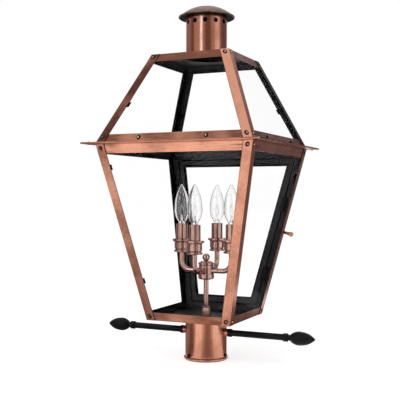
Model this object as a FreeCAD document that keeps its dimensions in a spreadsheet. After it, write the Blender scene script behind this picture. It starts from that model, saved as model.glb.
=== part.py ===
import FreeCAD, Part
import math
import os
import Sketcher

# A four-sided glazed lantern for the top of a post.  Millimetres.
# +Z is up.  The origin is on the lantern's axis, at the lower end of the collar
# that slips over the post.  The ladder-rest bar lies along X.
# Faces and corners are numbered the same way, turning from front to right:
# front is -Y, right is +X, back is +Y (the door's face), left is -X.

FACES = ("front", "right", "back", "left")
CORNERS = ("front_right", "back_right", "back_left", "front_left")
DOOR_FACE = FACES.index("back")
LATCH_CORNER = CORNERS.index("back_right")
FULL_TURN = math.degrees(math.tau)
QUARTER_TURN = FULL_TURN / 4

X_AXIS = FreeCAD.Vector(1, 0, 0)
Y_AXIS = FreeCAD.Vector(0, 1, 0)
Z_AXIS = FreeCAD.Vector(0, 0, 1)

# how a sketch counts the points of an edge, and the point at its own origin
EDGE_POINTS = ("edge", "start", "end", "centre")
START = EDGE_POINTS.index("start")
END = EDGE_POINTS.index("end")
CENTRE = EDGE_POINTS.index("centre")
SKETCH_ORIGIN = (-START, START)

DRIVING = {
    # collar and post socket
    "post_bore_radius": 38.5,
    "collar_wall": 1.2,
    "collar_height": 79.75,
    "collar_lid": 1.5,
    "collar_wire_radius": 15.0,
    "collar_bead_radius": 3.0,
    "set_screw_rise": 3.5,
    "set_screw_radius": 2.4,
    "set_screw_head_radius": 3.1,
    "set_screw_head": 2.2,
    "set_screw_count": 3,
    "set_screw_start_angle": -30.0,
    # sheet metal
    "angle_sheet": 1.2,
    "band_sheet": 1.0,
    "floor_sheet": 1.5,
    "brim_sheet": 1.5,
    "angle_flange": 17.3,
    # body: an upside-down pyramid, half widths to the outer corners
    "foot_half": 83.9,
    "waist_half": 153.5,
    "waist_height": 407.7,
    "base_band_height": 15.3,
    "waist_band_height": 18.4,
    "brim_reach": 19.5,
    # roof
    "crown_half": 77.9,
    "crown_height": 576.5,
    "skirt_height": 16.5,
    "crown_band_height": 14.5,
    # chimney and cap
    "chimney_radius": 39.3,
    "chimney_wall": 1.2,
    "chimney_height": 77.3,
    "vent_radius": 4.5,
    "vent_drop": 11.2,
    "vent_count": 12,
    "vent_start_angle": 20.0,
    "baffle_sheet": 1.2,
    "cap_ball_radius": 78.1,
    "cap_sheet": 1.2,
    "cap_rise": 20.4,
    "cap_bead_radius": 1.7,
    # glass
    "glass_sheet": 2.5,
    "glass_edge_clearance": 1.0,
    "glass_end_clearance": 3.6,
    # rivets and screws
    "rivet_radius": 1.6,
    "rivet_head_radius": 3.0,
    "rivet_head_rise": 1.6,
    "rivet_tail": 0.8,
    "rivet_clearance": 0.05,
    "rivet_edge": 8.5,
    "leg_rivet_low_end": 7.7,
    "leg_rivet_high_end": 8.7,
    "hip_rivet_low_end": 10.8,
    "hip_rivet_high_end": 6.0,
    "brim_rivet_inset": 11.3,
    "skirt_screw_spread": 66.0,
    "skirt_screw_rise": 9.3,
    "skirt_screw_radius": 1.6,
    "skirt_screw_head_radius": 3.0,
    "skirt_screw_head": 2.6,
    # glass clips
    "clip_width": 10.0,
    "clip_sheet": 0.8,
    "clip_foot": 2.6,
    "clip_reach": 18.0,
    "clip_stagger": 6.0,
    "body_clip_low_rise": 57.25,
    "body_clip_high_drop": 27.1,
    "roof_clip_drop": 0.5,
    # door
    "door_gap": 0.8,
    "door_head_gap": 1.6,
    "door_depth": 4.0,
    "door_rail": 15.0,
    "door_lip": 1.5,
    "door_rebate": 4.0,
    "door_glass_sheet": 2.0,
    "door_glass_clearance": 0.5,
    "stop_length": 30.0,
    "stop_sheet": 1.2,
    "stop_foot": 5.0,
    "stop_reach": 5.0,
    "stop_clearance": 0.3,
    "stop_low_drop": 71.5,
    "stop_high_rise": 68.5,
    # door hinges
    "hinge_low_rise": 54.15,
    "hinge_high_drop": 53.7,
    "hinge_length": 30.0,
    "hinge_barrel_radius": 2.4,
    "hinge_sheet": 1.0,
    "hinge_leaf": 12.0,
    "hinge_pin_radius": 1.1,
    "hinge_pin_head_radius": 1.9,
    "hinge_pin_head": 1.0,
    "running_clearance": 0.05,
    "knuckle_gap": 0.3,
    # door latch
    "latch_rise": 145.65,
    "latch_length": 27.5,
    "latch_neck": 15.1,
    "latch_side_curve": 27.5,
    "latch_root_width": 5.5,
    "latch_tip_width": 10.0,
    "latch_sheet": 1.8,
    "latch_lift": 0.4,
    "latch_droop": 13.0,
    "latch_pin_radius": 1.9,
    "latch_head_radius": 4.0,
    "latch_head_rise": 2.0,
    "latch_nut_radius": 5.2,
    "latch_nut_height": 3.4,
    # ladder-rest bar
    "bar_height": 52.6,
    "boss_radius": 7.3,
    "boss_length": 7.3,
    "rod_radius": 6.0,
    "rod_ring_radius": 7.7,
    "rod_inner_ring": 6.0,
    "rod_outer_ring": 7.7,
    "spigot_radius": 3.0,
    "spigot_length": 6.0,
    "finial_neck_radius": 5.4,
    "finial_neck": 5.0,
    "finial_radius": 12.4,
    "finial_swell": 21.7,
    "finial_swell_curve": 23.6,
    "finial_tip": 25.8,
    "finial_tip_curve": 37.7,
    "bar_half_length": 216.8,
    # candle cluster: stem and hub
    "coupling_height": 19.1,
    "coupling_radius": 8.2,
    "coupling_foot_radius": 7.2,
    "coupling_belly": 8.6,
    "coupling_belly_curve": 19.1,
    "coupling_neck_radius": 5.8,
    "coupling_neck_curve": 11.5,
    "coupling_lip_radius": 6.6,
    "coupling_lip": 1.5,
    "coupling_lip_bevel": 0.8,
    "stem_radius": 4.8,
    "stem_wall": 1.0,
    "stem_seat": 7.0,
    "hub_drop": 16.6,
    "hub_foot_curve": 6.0,
    "hub_ring_radius": 15.4,
    "hub_ring": 11.6,
    "hub_radius": 14.0,
    "hub_wall": 2.0,
    "hub_floor": 2.5,
    "hub_height": 27.1,
    "hub_cover": 7.5,
    "hub_cover_side": 4.5,
    "hub_cover_lip": 0.9,
    "hub_groove": 1.2,
    "hub_cover_neck_radius": 9.0,
    "ball_radius": 7.35,
    "ball_neck": 1.4,
    "ball_neck_radius": 4.0,
    "ball_centre_rise": 5.9,
    "ball_screw_radius": 2.0,
    # candle arms
    "arm_count": 4,
    "arm_reach": 52.3,
    "arm_height": 169.0,
    "arm_radius": 4.8,
    "arm_wall": 1.0,
    "arm_bend_radius": 18.0,
    "arm_into_hub": 0.8,
    # candle cups, sleeves and sockets
    "cup_rise": 34.5,
    "cup_foot_radius": 15.2,
    "cup_foot": 4.2,
    "cup_foot_bevel": 1.0,
    "cup_waist_radius": 12.6,
    "cup_waist": 1.6,
    "cup_shoulder": 1.2,
    "cup_radius": 14.0,
    "cup_flare": 4.0,
    "cup_flare_curve": 5.2,
    "cup_rim_radius": 18.0,
    "cup_rim": 3.4,
    "cup_height": 25.2,
    "cup_floor": 4.0,
    "sleeve_radius": 11.0,
    "sleeve_wall": 1.0,
    "sleeve_length": 50.8,
    "socket_radius": 8.5,
    "socket_top_drop": 4.0,
    "socket_bore_depth": 23.0,
    # bulbs
    "bulb_cap_radius": 6.0,
    "bulb_cap_tip": 4.0,
    "bulb_cap_tip_radius": 2.4,
    "bulb_cap_seat": 0.3,
    "bulb_neck_radius": 6.6,
    "bulb_neck": 4.0,
    "bulb_radius": 14.2,
    "bulb_length": 76.7,
    "bulb_swell": 31.7,
    "bulb_swell_curve": 37.4,
    "bulb_taper_curve": 81.3,
    "bulb_tip_radius": 2.2,
    "bulb_tip_curve": 2.4,
    "bulb_tip_inner_curve": 3.3,
    "bulb_wall": 0.8,
}


# ---------------------------------------------------------------- sizes

class Size(float):
    """A number that also carries the spreadsheet expression it comes from."""

    def __new__(cls, number, text=None):
        size = super().__new__(cls, number)
        size.text = text if text else repr(float(number))
        return size

    def __add__(self, other):
        return join_sizes(self, "+", other, float(self) + float(other))

    def __radd__(self, other):
        return join_sizes(other, "+", self, float(other) + float(self))

    def __sub__(self, other):
        return join_sizes(self, "-", other, float(self) - float(other))

    def __rsub__(self, other):
        return join_sizes(other, "-", self, float(other) - float(self))

    def __mul__(self, other):
        return join_sizes(self, "*", other, float(self) * float(other))

    def __rmul__(self, other):
        return join_sizes(other, "*", self, float(other) * float(self))

    def __truediv__(self, other):
        return join_sizes(self, "/", other, float(self) / float(other))

    def __rtruediv__(self, other):
        return join_sizes(other, "/", self, float(other) / float(self))

    def __neg__(self):
        return Size(-float(self), f"(0 - {self.text})")


def text_of(value):
    return value.text if isinstance(value, Size) else repr(float(value))


def join_sizes(left, sign, right, number):
    return Size(number, f"({text_of(left)} {sign} {text_of(right)})")


def root_of(size):
    return Size(math.sqrt(size), f"sqrt({text_of(size)})")


class Sizes:
    """Every driving size, read back from the sheet as d.name."""


doc = FreeCAD.newDocument("post_lantern")
sheet = doc.addObject("Spreadsheet::Sheet", "Sizes")
d = Sizes()
for row, (name, number) in enumerate(DRIVING.items(), 1):
    sheet.set(f"A{row}", name)
    sheet.set(f"B{row}", str(number))
    sheet.setAlias(f"B{row}", name)
doc.recompute()
for name in DRIVING:
    setattr(d, name, Size(sheet.get(name), f"Sizes.{name}"))


class Wall:
    """One pyramid's four faces: half width to the outer corners at any height."""

    def __init__(self, low_half, low_height, high_half, high_height):
        self.low_half = low_half
        self.low_height = low_height
        self.lean = (high_half - low_half) / (high_height - low_height)
        self.slant = root_of(self.lean * self.lean + 1.0)

    def half(self, height):
        return self.low_half + self.lean * (height - self.low_height)

    def square_to_face(self, level_distance):
        """A level distance through the sheet, measured square to the face."""
        return level_distance / self.slant

    def up_slope(self, low_height, high_height):
        return (high_height - low_height) * self.slant

    def tilt(self):
        return math.degrees(math.atan(self.lean))


body_wall = Wall(d.foot_half, d.collar_height, d.waist_half, d.waist_height)
roof_wall = Wall(d.waist_half, d.waist_height, d.crown_half, d.crown_height)

pieces = []


# ---------------------------------------------------------------- helpers

def bind(obj, name, size):
    """Sets a property and ties it to the sheet."""
    setattr(obj, name, float(size))
    if isinstance(size, Size):
        obj.setExpression(name, size.text)


def shape_object(kind, name, **sizes):
    obj = doc.addObject(kind, name)
    for prop, size in sizes.items():
        bind(obj, prop, size)
    return obj


def keep(obj, label):
    """Counts an object as a finished piece under its own name."""
    obj.Label = label
    pieces.append(obj)
    return obj


def turned(quarter):
    return FreeCAD.Placement(FreeCAD.Vector(), FreeCAD.Rotation(Z_AXIS, QUARTER_TURN * quarter))


def at(x, y, z, rotation=FreeCAD.Rotation()):
    return FreeCAD.Placement(FreeCAD.Vector(x, y, z), rotation)


def on_face(face, wall, height, along, out=0.0):
    """The frame of a face: X level, Y up the slope, Z out of the face."""
    lean = FreeCAD.Rotation(X_AXIS, QUARTER_TURN + wall.tilt())
    point = FreeCAD.Vector(along, -wall.half(height), height)
    point = point + lean.multVec(Z_AXIS) * out
    return turned(face).multiply(FreeCAD.Placement(point, lean))


def origin_plane(body, role):
    return next(item for item in body.Origin.OriginFeatures if item.Role == role)


def new_body(name):
    return doc.addObject("PartDesign::Body", name)


def short_arc(start, end, radius):
    """The short arc between two corners; it bulges left of its travel, or right if radius is negative."""
    chord = end - start
    half_chord = chord.Length / 2
    to_centre = math.sqrt(max(radius * radius - half_chord * half_chord, 0.0))
    right = FreeCAD.Vector(chord.y, -chord.x, 0).normalize()
    centre = (start + end) * 0.5 + right * math.copysign(to_centre, radius)
    first, last = (end, start) if radius > 0 else (start, end)
    first_angle = math.atan2(first.y - centre.y, first.x - centre.x)
    last_angle = math.atan2(last.y - centre.y, last.x - centre.x)
    if last_angle < first_angle:
        last_angle += 2.0 * math.pi
    return Part.ArcOfCircle(Part.Circle(centre, Z_AXIS, abs(radius)), first_angle, last_angle)


def attached_sketch(body, name, role, offset=None):
    """An empty sketch on one of the body's own planes, or a distance off it."""
    sketch = body.newObject("Sketcher::SketchObject", name)
    sketch.AttachmentSupport = [(origin_plane(body, role), "")]
    sketch.MapMode = "FlatFace"
    if offset is not None:
        sketch.AttachmentOffset = FreeCAD.Placement(FreeCAD.Vector(0, 0, offset), FreeCAD.Rotation())
        if isinstance(offset, Size):
            sketch.setExpression("AttachmentOffset.Base.z", offset.text)
    return sketch


def profile(body, name, role, outline, offset=None):
    """A closed sketch.  Each point is (across, up) or (across, up, radius of the arc to it)."""
    sketch = attached_sketch(body, name, role, offset)
    draw(sketch, outline)
    return sketch


def draw(sketch, outline, closed=True):
    """Draws the edges, joins them end to end and ties every corner to the sheet."""
    drawn = []
    for index in range(0 if closed else 1, len(outline)):
        point = outline[index]
        start, end = flat_point(outline[index - 1]), flat_point(point)
        curved = len(point) == 3
        edge = short_arc(start, end, float(point[2])) if curved else Part.LineSegment(start, end)
        number = sketch.addGeometry(edge, False)
        start_end = (END, START) if curved and point[2] > 0 else (START, END)
        drawn.append((number, *start_end))
        tie_point(sketch, number, start_end[1], point)
    if not closed:
        tie_point(sketch, drawn[0][0], drawn[0][1], outline[0])
    followers = drawn[1:] + (drawn[:1] if closed else [])
    for (before, _, last), (after, first, _) in zip(drawn, followers):
        sketch.addConstraint(Sketcher.Constraint("Coincident", before, last, after, first))


def flat_point(point):
    return FreeCAD.Vector(point[0], point[1], 0)


def constrain(sketch, size, kind, *where):
    """Adds a constraint and, where the size comes from the sheet, ties it there."""
    number = sketch.addConstraint(Sketcher.Constraint(kind, *where, float(size)))
    if isinstance(size, Size):
        sketch.setExpression(f"Constraints[{number}]", size.text)


def tie_point(sketch, edge, end, point):
    constrain(sketch, point[0], "DistanceX", *SKETCH_ORIGIN, edge, end)
    constrain(sketch, point[1], "DistanceY", *SKETCH_ORIGIN, edge, end)


def pole(height, radius):
    """An arc to the axis that ends in a tiny flat, as a turned dome does."""
    return [(POLE, height, radius), (Size(0), height)]


def revolve(body, name, outline, role="XZ_Plane"):
    """Turns an outline (radius, height) round the body's Z axis."""
    sketch = profile(body, name + "_outline", role, outline)
    turn = body.newObject("PartDesign::Revolution", name)
    turn.Profile = sketch
    turn.ReferenceAxis = (sketch, ["V_Axis"])
    turn.Angle = FULL_TURN
    sketch.Visibility = False
    return turn


def pad(body, name, sketch, length, direction=None):
    feature = body.newObject("PartDesign::Pad", name)
    feature.Profile = sketch
    if direction is not None:
        feature.UseCustomVector = True
        feature.Direction = FreeCAD.Vector(*direction)
        feature.AlongSketchNormal = True
        for axis, part in zip("xyz", direction):
            if isinstance(part, Size):
                feature.setExpression(f"Direction.{axis}", part.text)
    bind(feature, "Length", length)
    return feature


def pocket(body, name, sketch, depth, backward=True):
    feature = body.newObject("PartDesign::Pocket", name)
    feature.Profile = sketch
    feature.Reversed = not backward
    bind(feature, "Length", depth)
    return feature


def frustum(name, low_half, high_half, low, high):
    """A square block whose half width changes from low to high."""
    block = doc.addObject("Part::Wedge", name)
    for prop in ("Xmin", "Zmin"):
        bind(block, prop, -low_half)
    for prop in ("Xmax", "Zmax"):
        bind(block, prop, low_half)
    for prop in ("X2min", "Z2min"):
        bind(block, prop, -high_half)
    for prop in ("X2max", "Z2max"):
        bind(block, prop, high_half)
    block.Ymin = 0
    bind(block, "Ymax", high - low)
    block.Placement = at(0, 0, low, FreeCAD.Rotation(X_AXIS, QUARTER_TURN))
    return block


def cylinder(name, radius, height, placement):
    obj = shape_object("Part::Cylinder", name, Radius=radius, Height=height)
    obj.Placement = placement
    return obj


def cut(name, base, *tools):
    """Takes every tool away from the base."""
    obj = doc.addObject("Part::Cut", name)
    obj.Base = base
    obj.Tool = tools[0] if len(tools) == 1 else fuse(name + "_tools", *tools)
    return obj


def fuse(name, *parts):
    obj = doc.addObject("Part::MultiFuse", name)
    obj.Shapes = list(parts)
    obj.Refine = True
    return obj


def copies(name, master, placements):
    """One solid of the master at each placement, all in one compound."""
    links = []
    for number, placement in enumerate(placements, 1):
        link = doc.addObject("App::Link", f"{name}_{number}")
        link.LinkedObject = master
        link.Placement = placement
        links.append(link)
    group = doc.addObject("Part::Compound", name)
    group.Links = links
    return group


# ---------------------------------------------------------------- shared places

leg_top = d.waist_height - d.brim_sheet
hip_foot = d.waist_height + d.brim_sheet
base_band_top = d.collar_height + d.base_band_height
waist_band_foot = d.waist_height - d.waist_band_height
skirt_top = d.waist_height + d.skirt_height
crown_band_foot = d.crown_height - d.crown_band_height
floor_top = d.collar_height + d.floor_sheet
brim_half = d.waist_half + d.brim_reach
door_low = base_band_top + d.door_gap
door_high = waist_band_foot - d.door_head_gap
latch_height = door_low + d.latch_rise

leg_rivets = (d.collar_height + d.leg_rivet_low_end, d.waist_height - d.leg_rivet_high_end)
hip_rivets = (d.waist_height + d.hip_rivet_low_end, d.crown_height - d.hip_rivet_high_end)


def corner_rivet_places(wall, heights, corner, out=0.0):
    """Both flanges of one corner angle: its own face's right edge, the next face's left."""
    places = []
    for height in heights:
        along = wall.half(height) - d.rivet_edge
        places.append(on_face(corner, wall, height, along, out))
        places.append(on_face((corner + 1) % len(FACES), wall, height, -along, out))
    return places


def skirt_screw_places(out=0.0):
    """Two screws on each face of the roof skirt, which lies an angle's sheet in from the hips."""
    height = d.waist_height + d.skirt_screw_rise
    seat = out - roof_wall.square_to_face(d.angle_sheet)
    return [on_face(face, roof_wall, height, along, seat)
            for face in range(len(FACES))
            for along in (-d.skirt_screw_spread, d.skirt_screw_spread)]


def brim_rivet_places(height):
    inset = brim_half - d.brim_rivet_inset
    return [turned(corner).multiply(at(inset, -inset, height)) for corner in range(len(CORNERS))]


DRILL_LENGTH = 12.0
POLE = Size(0.2)
rivet_drill = cylinder("rivet_drill", d.rivet_radius + d.rivet_clearance, DRILL_LENGTH, at(0, 0, 0))
screw_drill = cylinder("screw_drill", d.skirt_screw_radius + d.rivet_clearance, DRILL_LENGTH, at(0, 0, 0))


# ---------------------------------------------------------------- corner angles

def corner_angle(label, wall, low, high, rivet_heights, corner):
    """A sheet angle that runs up one corner, drilled for its rivets."""
    half = wall.half(low)
    sheet_edge = half - d.angle_sheet
    flange_edge = half - d.angle_flange
    outline = [(half, -half), (half, -flange_edge), (sheet_edge, -flange_edge),
               (sheet_edge, -sheet_edge), (flange_edge, -sheet_edge), (flange_edge, -half)]
    body = new_body(label + "_blank")
    sketch = profile(body, label + "_section", "XY_Plane", outline, low)
    pad(body, label + "_run", sketch, high - low, (wall.lean, -wall.lean, Size(1.0)))
    places = corner_rivet_places(wall, rivet_heights, 0, -DRILL_LENGTH / 2)
    drills = copies(label + "_drills", rivet_drill, places)
    angle = keep(cut(label, body, drills), label)
    angle.Placement = turned(corner)
    return angle


def make_angles():
    for corner, name in enumerate(CORNERS):
        if corner == LATCH_CORNER:
            continue
        corner_angle("corner_leg_" + name, body_wall, d.collar_height, leg_top, leg_rivets, corner)
    make_latch_leg()
    for corner, name in enumerate(CORNERS):
        corner_angle("roof_hip_" + name, roof_wall, hip_foot, d.crown_height, hip_rivets, corner)


def latch_place(out=0.0):
    """The latch's pivot, in the middle of the latch corner's flange on the door's face."""
    along = body_wall.half(latch_height) - d.rivet_edge
    return on_face(DOOR_FACE, body_wall, latch_height, -along, out)


def make_latch_leg():
    """The leg beside the door's free edge also has the latch pivot's hole."""
    name = CORNERS[LATCH_CORNER]
    leg = corner_angle("drilled_leg", body_wall, d.collar_height, leg_top, leg_rivets, LATCH_CORNER)
    pieces.remove(leg)
    hole = cylinder("latch_hole", d.latch_pin_radius + d.running_clearance, DRILL_LENGTH,
                    latch_place(-DRILL_LENGTH / 2))
    keep(cut("corner_leg_" + name, leg, hole), "corner_leg_" + name)


# ---------------------------------------------------------------- sheet bands

def band(name, wall, low, high):
    """Four slanted strips joined at the corners, just inside the corner angles."""
    outer_inset = d.angle_sheet
    inner_inset = d.angle_sheet + d.band_sheet
    outer = frustum(name + "_outside", wall.half(low) - outer_inset, wall.half(high) - outer_inset, low, high)
    inner = frustum(name + "_inside", wall.half(low) - inner_inset, wall.half(high) - inner_inset, low, high)
    return cut(name + "_strip", outer, inner)


def brim_plate(name, low, high):
    """One layer of the flat square brim."""
    opening = d.waist_half - d.angle_sheet - d.band_sheet
    plate = frustum(name + "_plate", brim_half, brim_half, low, high)
    hole = frustum(name + "_opening", opening, opening, low, high)
    return cut(name + "_layer", plate, hole)


def make_roof_skirt():
    strip = band("skirt", roof_wall, d.waist_height, skirt_top)
    layer = brim_plate("upper_brim", d.waist_height, hip_foot)
    below = frustum("skirt_clear", roof_wall.half(hip_foot) - d.angle_sheet - d.band_sheet,
                    roof_wall.half(skirt_top) - d.angle_sheet - d.band_sheet, hip_foot, skirt_top)
    blank = cut("skirt_blank", fuse("skirt_folded", strip, layer), below)
    rivets = [place for corner in range(len(CORNERS))
              for place in corner_rivet_places(roof_wall, hip_rivets[:1], corner, -DRILL_LENGTH / 2)]
    tools = (copies("skirt_drills", rivet_drill, rivets),
             copies("skirt_screw_drills", screw_drill, skirt_screw_places(-DRILL_LENGTH / 2)),
             copies("upper_brim_drills", rivet_drill, brim_rivet_places(d.waist_height - DRILL_LENGTH / 2)))
    keep(cut("roof_skirt", blank, *tools), "roof_skirt")


def make_waist_band():
    strip = band("waist", body_wall, waist_band_foot, d.waist_height)
    layer = brim_plate("lower_brim", leg_top, d.waist_height)
    blank = fuse("waist_folded", strip, layer)
    rivets = [place for corner in range(len(CORNERS))
              for place in corner_rivet_places(body_wall, leg_rivets[1:], corner, -DRILL_LENGTH / 2)]
    tools = (copies("waist_drills", rivet_drill, rivets),
             copies("lower_brim_drills", rivet_drill, brim_rivet_places(d.waist_height - DRILL_LENGTH / 2)))
    keep(cut("waist_band", blank, *tools), "waist_band")


def make_base_pan():
    """The floor, with its edges turned up inside the legs."""
    inset = d.angle_sheet + d.band_sheet
    solid = frustum("pan_outside", d.foot_half - d.angle_sheet,
                    body_wall.half(base_band_top) - d.angle_sheet, d.collar_height, base_band_top)
    hollow = frustum("pan_inside", body_wall.half(floor_top) - inset,
                     body_wall.half(base_band_top) - inset, floor_top, base_band_top)
    wires = cylinder("pan_wire_hole", d.stem_radius, DRILL_LENGTH,
                     at(0, 0, d.collar_height - DRILL_LENGTH / 2))
    rivets = [place for corner in range(len(CORNERS))
              for place in corner_rivet_places(body_wall, leg_rivets[:1], corner, -DRILL_LENGTH / 2)]
    drills = copies("pan_drills", rivet_drill, rivets)
    keep(cut("base_pan", solid, hollow, wires, drills), "base_pan")


def make_roof_top_pan():
    """The square crown plate, with its edges turned down inside the hips."""
    inset = d.angle_sheet + d.band_sheet
    plate_foot = d.crown_height - d.floor_sheet
    solid = frustum("crown_outside", roof_wall.half(crown_band_foot) - d.angle_sheet,
                    d.crown_half - d.angle_sheet, crown_band_foot, d.crown_height)
    hollow = frustum("crown_inside", roof_wall.half(crown_band_foot) - inset,
                     roof_wall.half(plate_foot) - inset, crown_band_foot, plate_foot)
    flue = cylinder("crown_flue_hole", d.chimney_radius - d.chimney_wall, DRILL_LENGTH,
                    at(0, 0, d.crown_height - DRILL_LENGTH / 2))
    rivets = [place for corner in range(len(CORNERS))
              for place in corner_rivet_places(roof_wall, hip_rivets[1:], corner, -DRILL_LENGTH / 2)]
    drills = copies("crown_drills", rivet_drill, rivets)
    keep(cut("roof_top_pan", solid, hollow, flue, drills), "roof_top_pan")


# ---------------------------------------------------------------- glass

def pane(label, face, wall, low, high):
    """A flat pane behind the bands, clear of its neighbours at the corners."""
    inset = d.angle_sheet + d.band_sheet
    edge = inset + d.glass_sheet * wall.slant + d.glass_edge_clearance
    low_half = wall.half(low) - edge
    high_half = wall.half(high) - edge
    rise = wall.up_slope(low, high)
    body = new_body(label + "_body")
    sketch = profile(body, label + "_outline", "XY_Plane",
                     [(-low_half, Size(0)), (low_half, Size(0)), (high_half, rise), (-high_half, rise)])
    pad(body, label + "_sheet", sketch, d.glass_sheet)
    out = -wall.square_to_face(inset) - d.glass_sheet
    body.Placement = on_face(face, wall, low, 0.0, out)
    keep(body, label)


def make_glass():
    body_low = leg_rivets[0] + d.glass_end_clearance
    body_high = leg_rivets[1] - d.glass_end_clearance
    roof_low = hip_rivets[0] + d.glass_end_clearance
    roof_high = hip_rivets[1] - d.glass_end_clearance
    for face, name in enumerate(FACES):
        pane("roof_glass_" + name, face, roof_wall, roof_low, roof_high)
        if face != DOOR_FACE:
            pane("body_glass_" + name, face, body_wall, body_low, body_high)


def make_clips():
    """Small tabs behind the panes: two up each body flange, one up each roof flange."""
    body_heights = (base_band_top + d.body_clip_low_rise, waist_band_foot - d.body_clip_high_drop)
    roof_height = (skirt_top + crown_band_foot) / 2 - d.roof_clip_drop
    every_face = range(len(FACES))
    fixed_faces = [face for face in every_face if face != DOOR_FACE]
    groups = ((body_wall, body_heights, fixed_faces, d.clip_stagger),
              (roof_wall, (roof_height,), every_face, -d.clip_stagger))
    solids = []
    for number, (wall, heights, faces, stagger) in enumerate(groups, 1):
        solids.append(clip_set(f"clip_set_{number}", wall, heights, faces, stagger))
    group = doc.addObject("Part::Compound", "glass_clips")
    group.Links = solids
    keep(group, "glass_clips")


def clip_set(name, wall, heights, faces, stagger):
    """One bent tab for each end, linked to every place and staggered from face to face."""
    flange_back = wall.square_to_face(d.angle_sheet)
    pane_back = wall.square_to_face(d.angle_sheet + d.band_sheet) + d.glass_sheet
    tab_back = pane_back + d.clip_sheet
    inner = d.angle_sheet + d.band_sheet
    places = {1: [], -1: []}
    for face in faces:
        for height in heights:
            level = height + (-stagger if face % 2 else stagger)
            for side in (1, -1):
                places[side].append(on_face(face, wall, level, side * wall.half(level)))
    groups = []
    for side in (1, -1):
        body = new_body(f"{name}_{'right' if side > 0 else 'left'}")
        outline = [(-side * inner, -flange_back), (-side * inner, -tab_back),
                   (-side * d.clip_reach, -tab_back), (-side * d.clip_reach, -pane_back),
                   (-side * (d.clip_foot + inner), -pane_back),
                   (-side * (d.clip_foot + inner), -flange_back)]
        sketch = profile(body, body.Name + "_section", "XZ_Plane", outline)
        # the tab's run follows the corner edge, so that its foot stays on the flange
        pad(body, body.Name + "_run", sketch, d.clip_width,
            (-side * wall.lean / wall.slant, Size(-1.0), Size(0.0)))
        groups.append(copies(f"{body.Name}_copies", body, places[side]))
    both = doc.addObject("Part::Compound", name)
    both.Links = groups
    return both


# ---------------------------------------------------------------- rivets and screws

def dome_radius(half_width, rise):
    return (half_width * half_width + rise * rise) / (rise * 2.0)


def button_rivet(name, head_radius, head_rise, shank_radius, grip, tail):
    """A round-headed rivet whose head seats at height 0, with a peened tail."""
    body = new_body(name)
    head_ball = dome_radius(head_radius, head_rise)
    outline = [(Size(0), -grip - tail), (shank_radius, -grip - tail), (shank_radius, Size(0)),
               (head_radius, Size(0))]
    outline += pole(head_rise, -head_ball)
    revolve(body, name + "_turned", outline)
    return body


def make_rivets():
    """Every rivet in the sheet metal: two rows on each corner angle, one at each brim corner."""
    places = []
    for corner in range(len(CORNERS)):
        places += corner_rivet_places(body_wall, leg_rivets, corner)
        places += corner_rivet_places(roof_wall, hip_rivets, corner)
    grip = d.angle_sheet + d.band_sheet
    rivet = button_rivet("angle_rivet", d.rivet_head_radius, d.rivet_head_rise, d.rivet_radius,
                         grip, d.rivet_tail)
    corner_rivets = copies("corner_rivets", rivet, places)
    upper = button_rivet("brim_rivet_upper", d.rivet_head_radius, d.rivet_head_rise, d.rivet_radius,
                         d.brim_sheet, Size(0))
    lower_places = [place.multiply(at(0, 0, 0, FreeCAD.Rotation(X_AXIS, FULL_TURN / 2)))
                    for place in brim_rivet_places(leg_top)]
    heads = [copies("brim_rivet_tops", upper, brim_rivet_places(hip_foot)),
             copies("brim_rivet_feet", upper, lower_places)]
    group = doc.addObject("Part::Compound", "sheet_rivets")
    group.Links = [corner_rivets, fuse("brim_rivets", *heads)]
    keep(group, "sheet_rivets")


def make_skirt_screws():
    """Pan-head screws that hold the roof to the body."""
    body = new_body("skirt_screw")
    crown = d.skirt_screw_head / 2
    outline = [(Size(0), -d.band_sheet - d.rivet_tail), (d.skirt_screw_radius, -d.band_sheet - d.rivet_tail),
               (d.skirt_screw_radius, Size(0)), (d.skirt_screw_head_radius, Size(0)),
               (d.skirt_screw_head_radius, crown)]
    outline += pole(d.skirt_screw_head, -dome_radius(d.skirt_screw_head_radius, crown))
    revolve(body, "skirt_screw_turned", outline)
    keep(copies("skirt_screws", body, skirt_screw_places()), "skirt_screws")


# ---------------------------------------------------------------- chimney and cap

chimney_top = d.crown_height + d.chimney_height
baffle_top = chimney_top + d.baffle_sheet
cap_centre = baffle_top + d.cap_rise - d.cap_ball_radius


def ball_level_radius(ball_radius, centre, height):
    return root_of(ball_radius * ball_radius - (height - centre) * (height - centre))


def make_chimney():
    body = new_body("chimney_tube")
    outline = [(d.chimney_radius - d.chimney_wall, d.crown_height), (d.chimney_radius, d.crown_height),
               (d.chimney_radius, chimney_top), (d.chimney_radius - d.chimney_wall, chimney_top)]
    revolve(body, "chimney_turned", outline)
    drill = cylinder("vent_drill", d.vent_radius, d.chimney_radius + DRILL_LENGTH, at(0, 0, 0))
    step = FULL_TURN / int(d.vent_count)
    places = []
    for number in range(int(d.vent_count)):
        outward = FreeCAD.Rotation(Z_AXIS, d.vent_start_angle + step * number)
        level = FreeCAD.Rotation(X_AXIS, QUARTER_TURN)
        places.append(at(0, 0, chimney_top - d.vent_drop, outward.multiply(level)))
    keep(cut("chimney", body, copies("vent_drills", drill, places)), "chimney")


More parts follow.
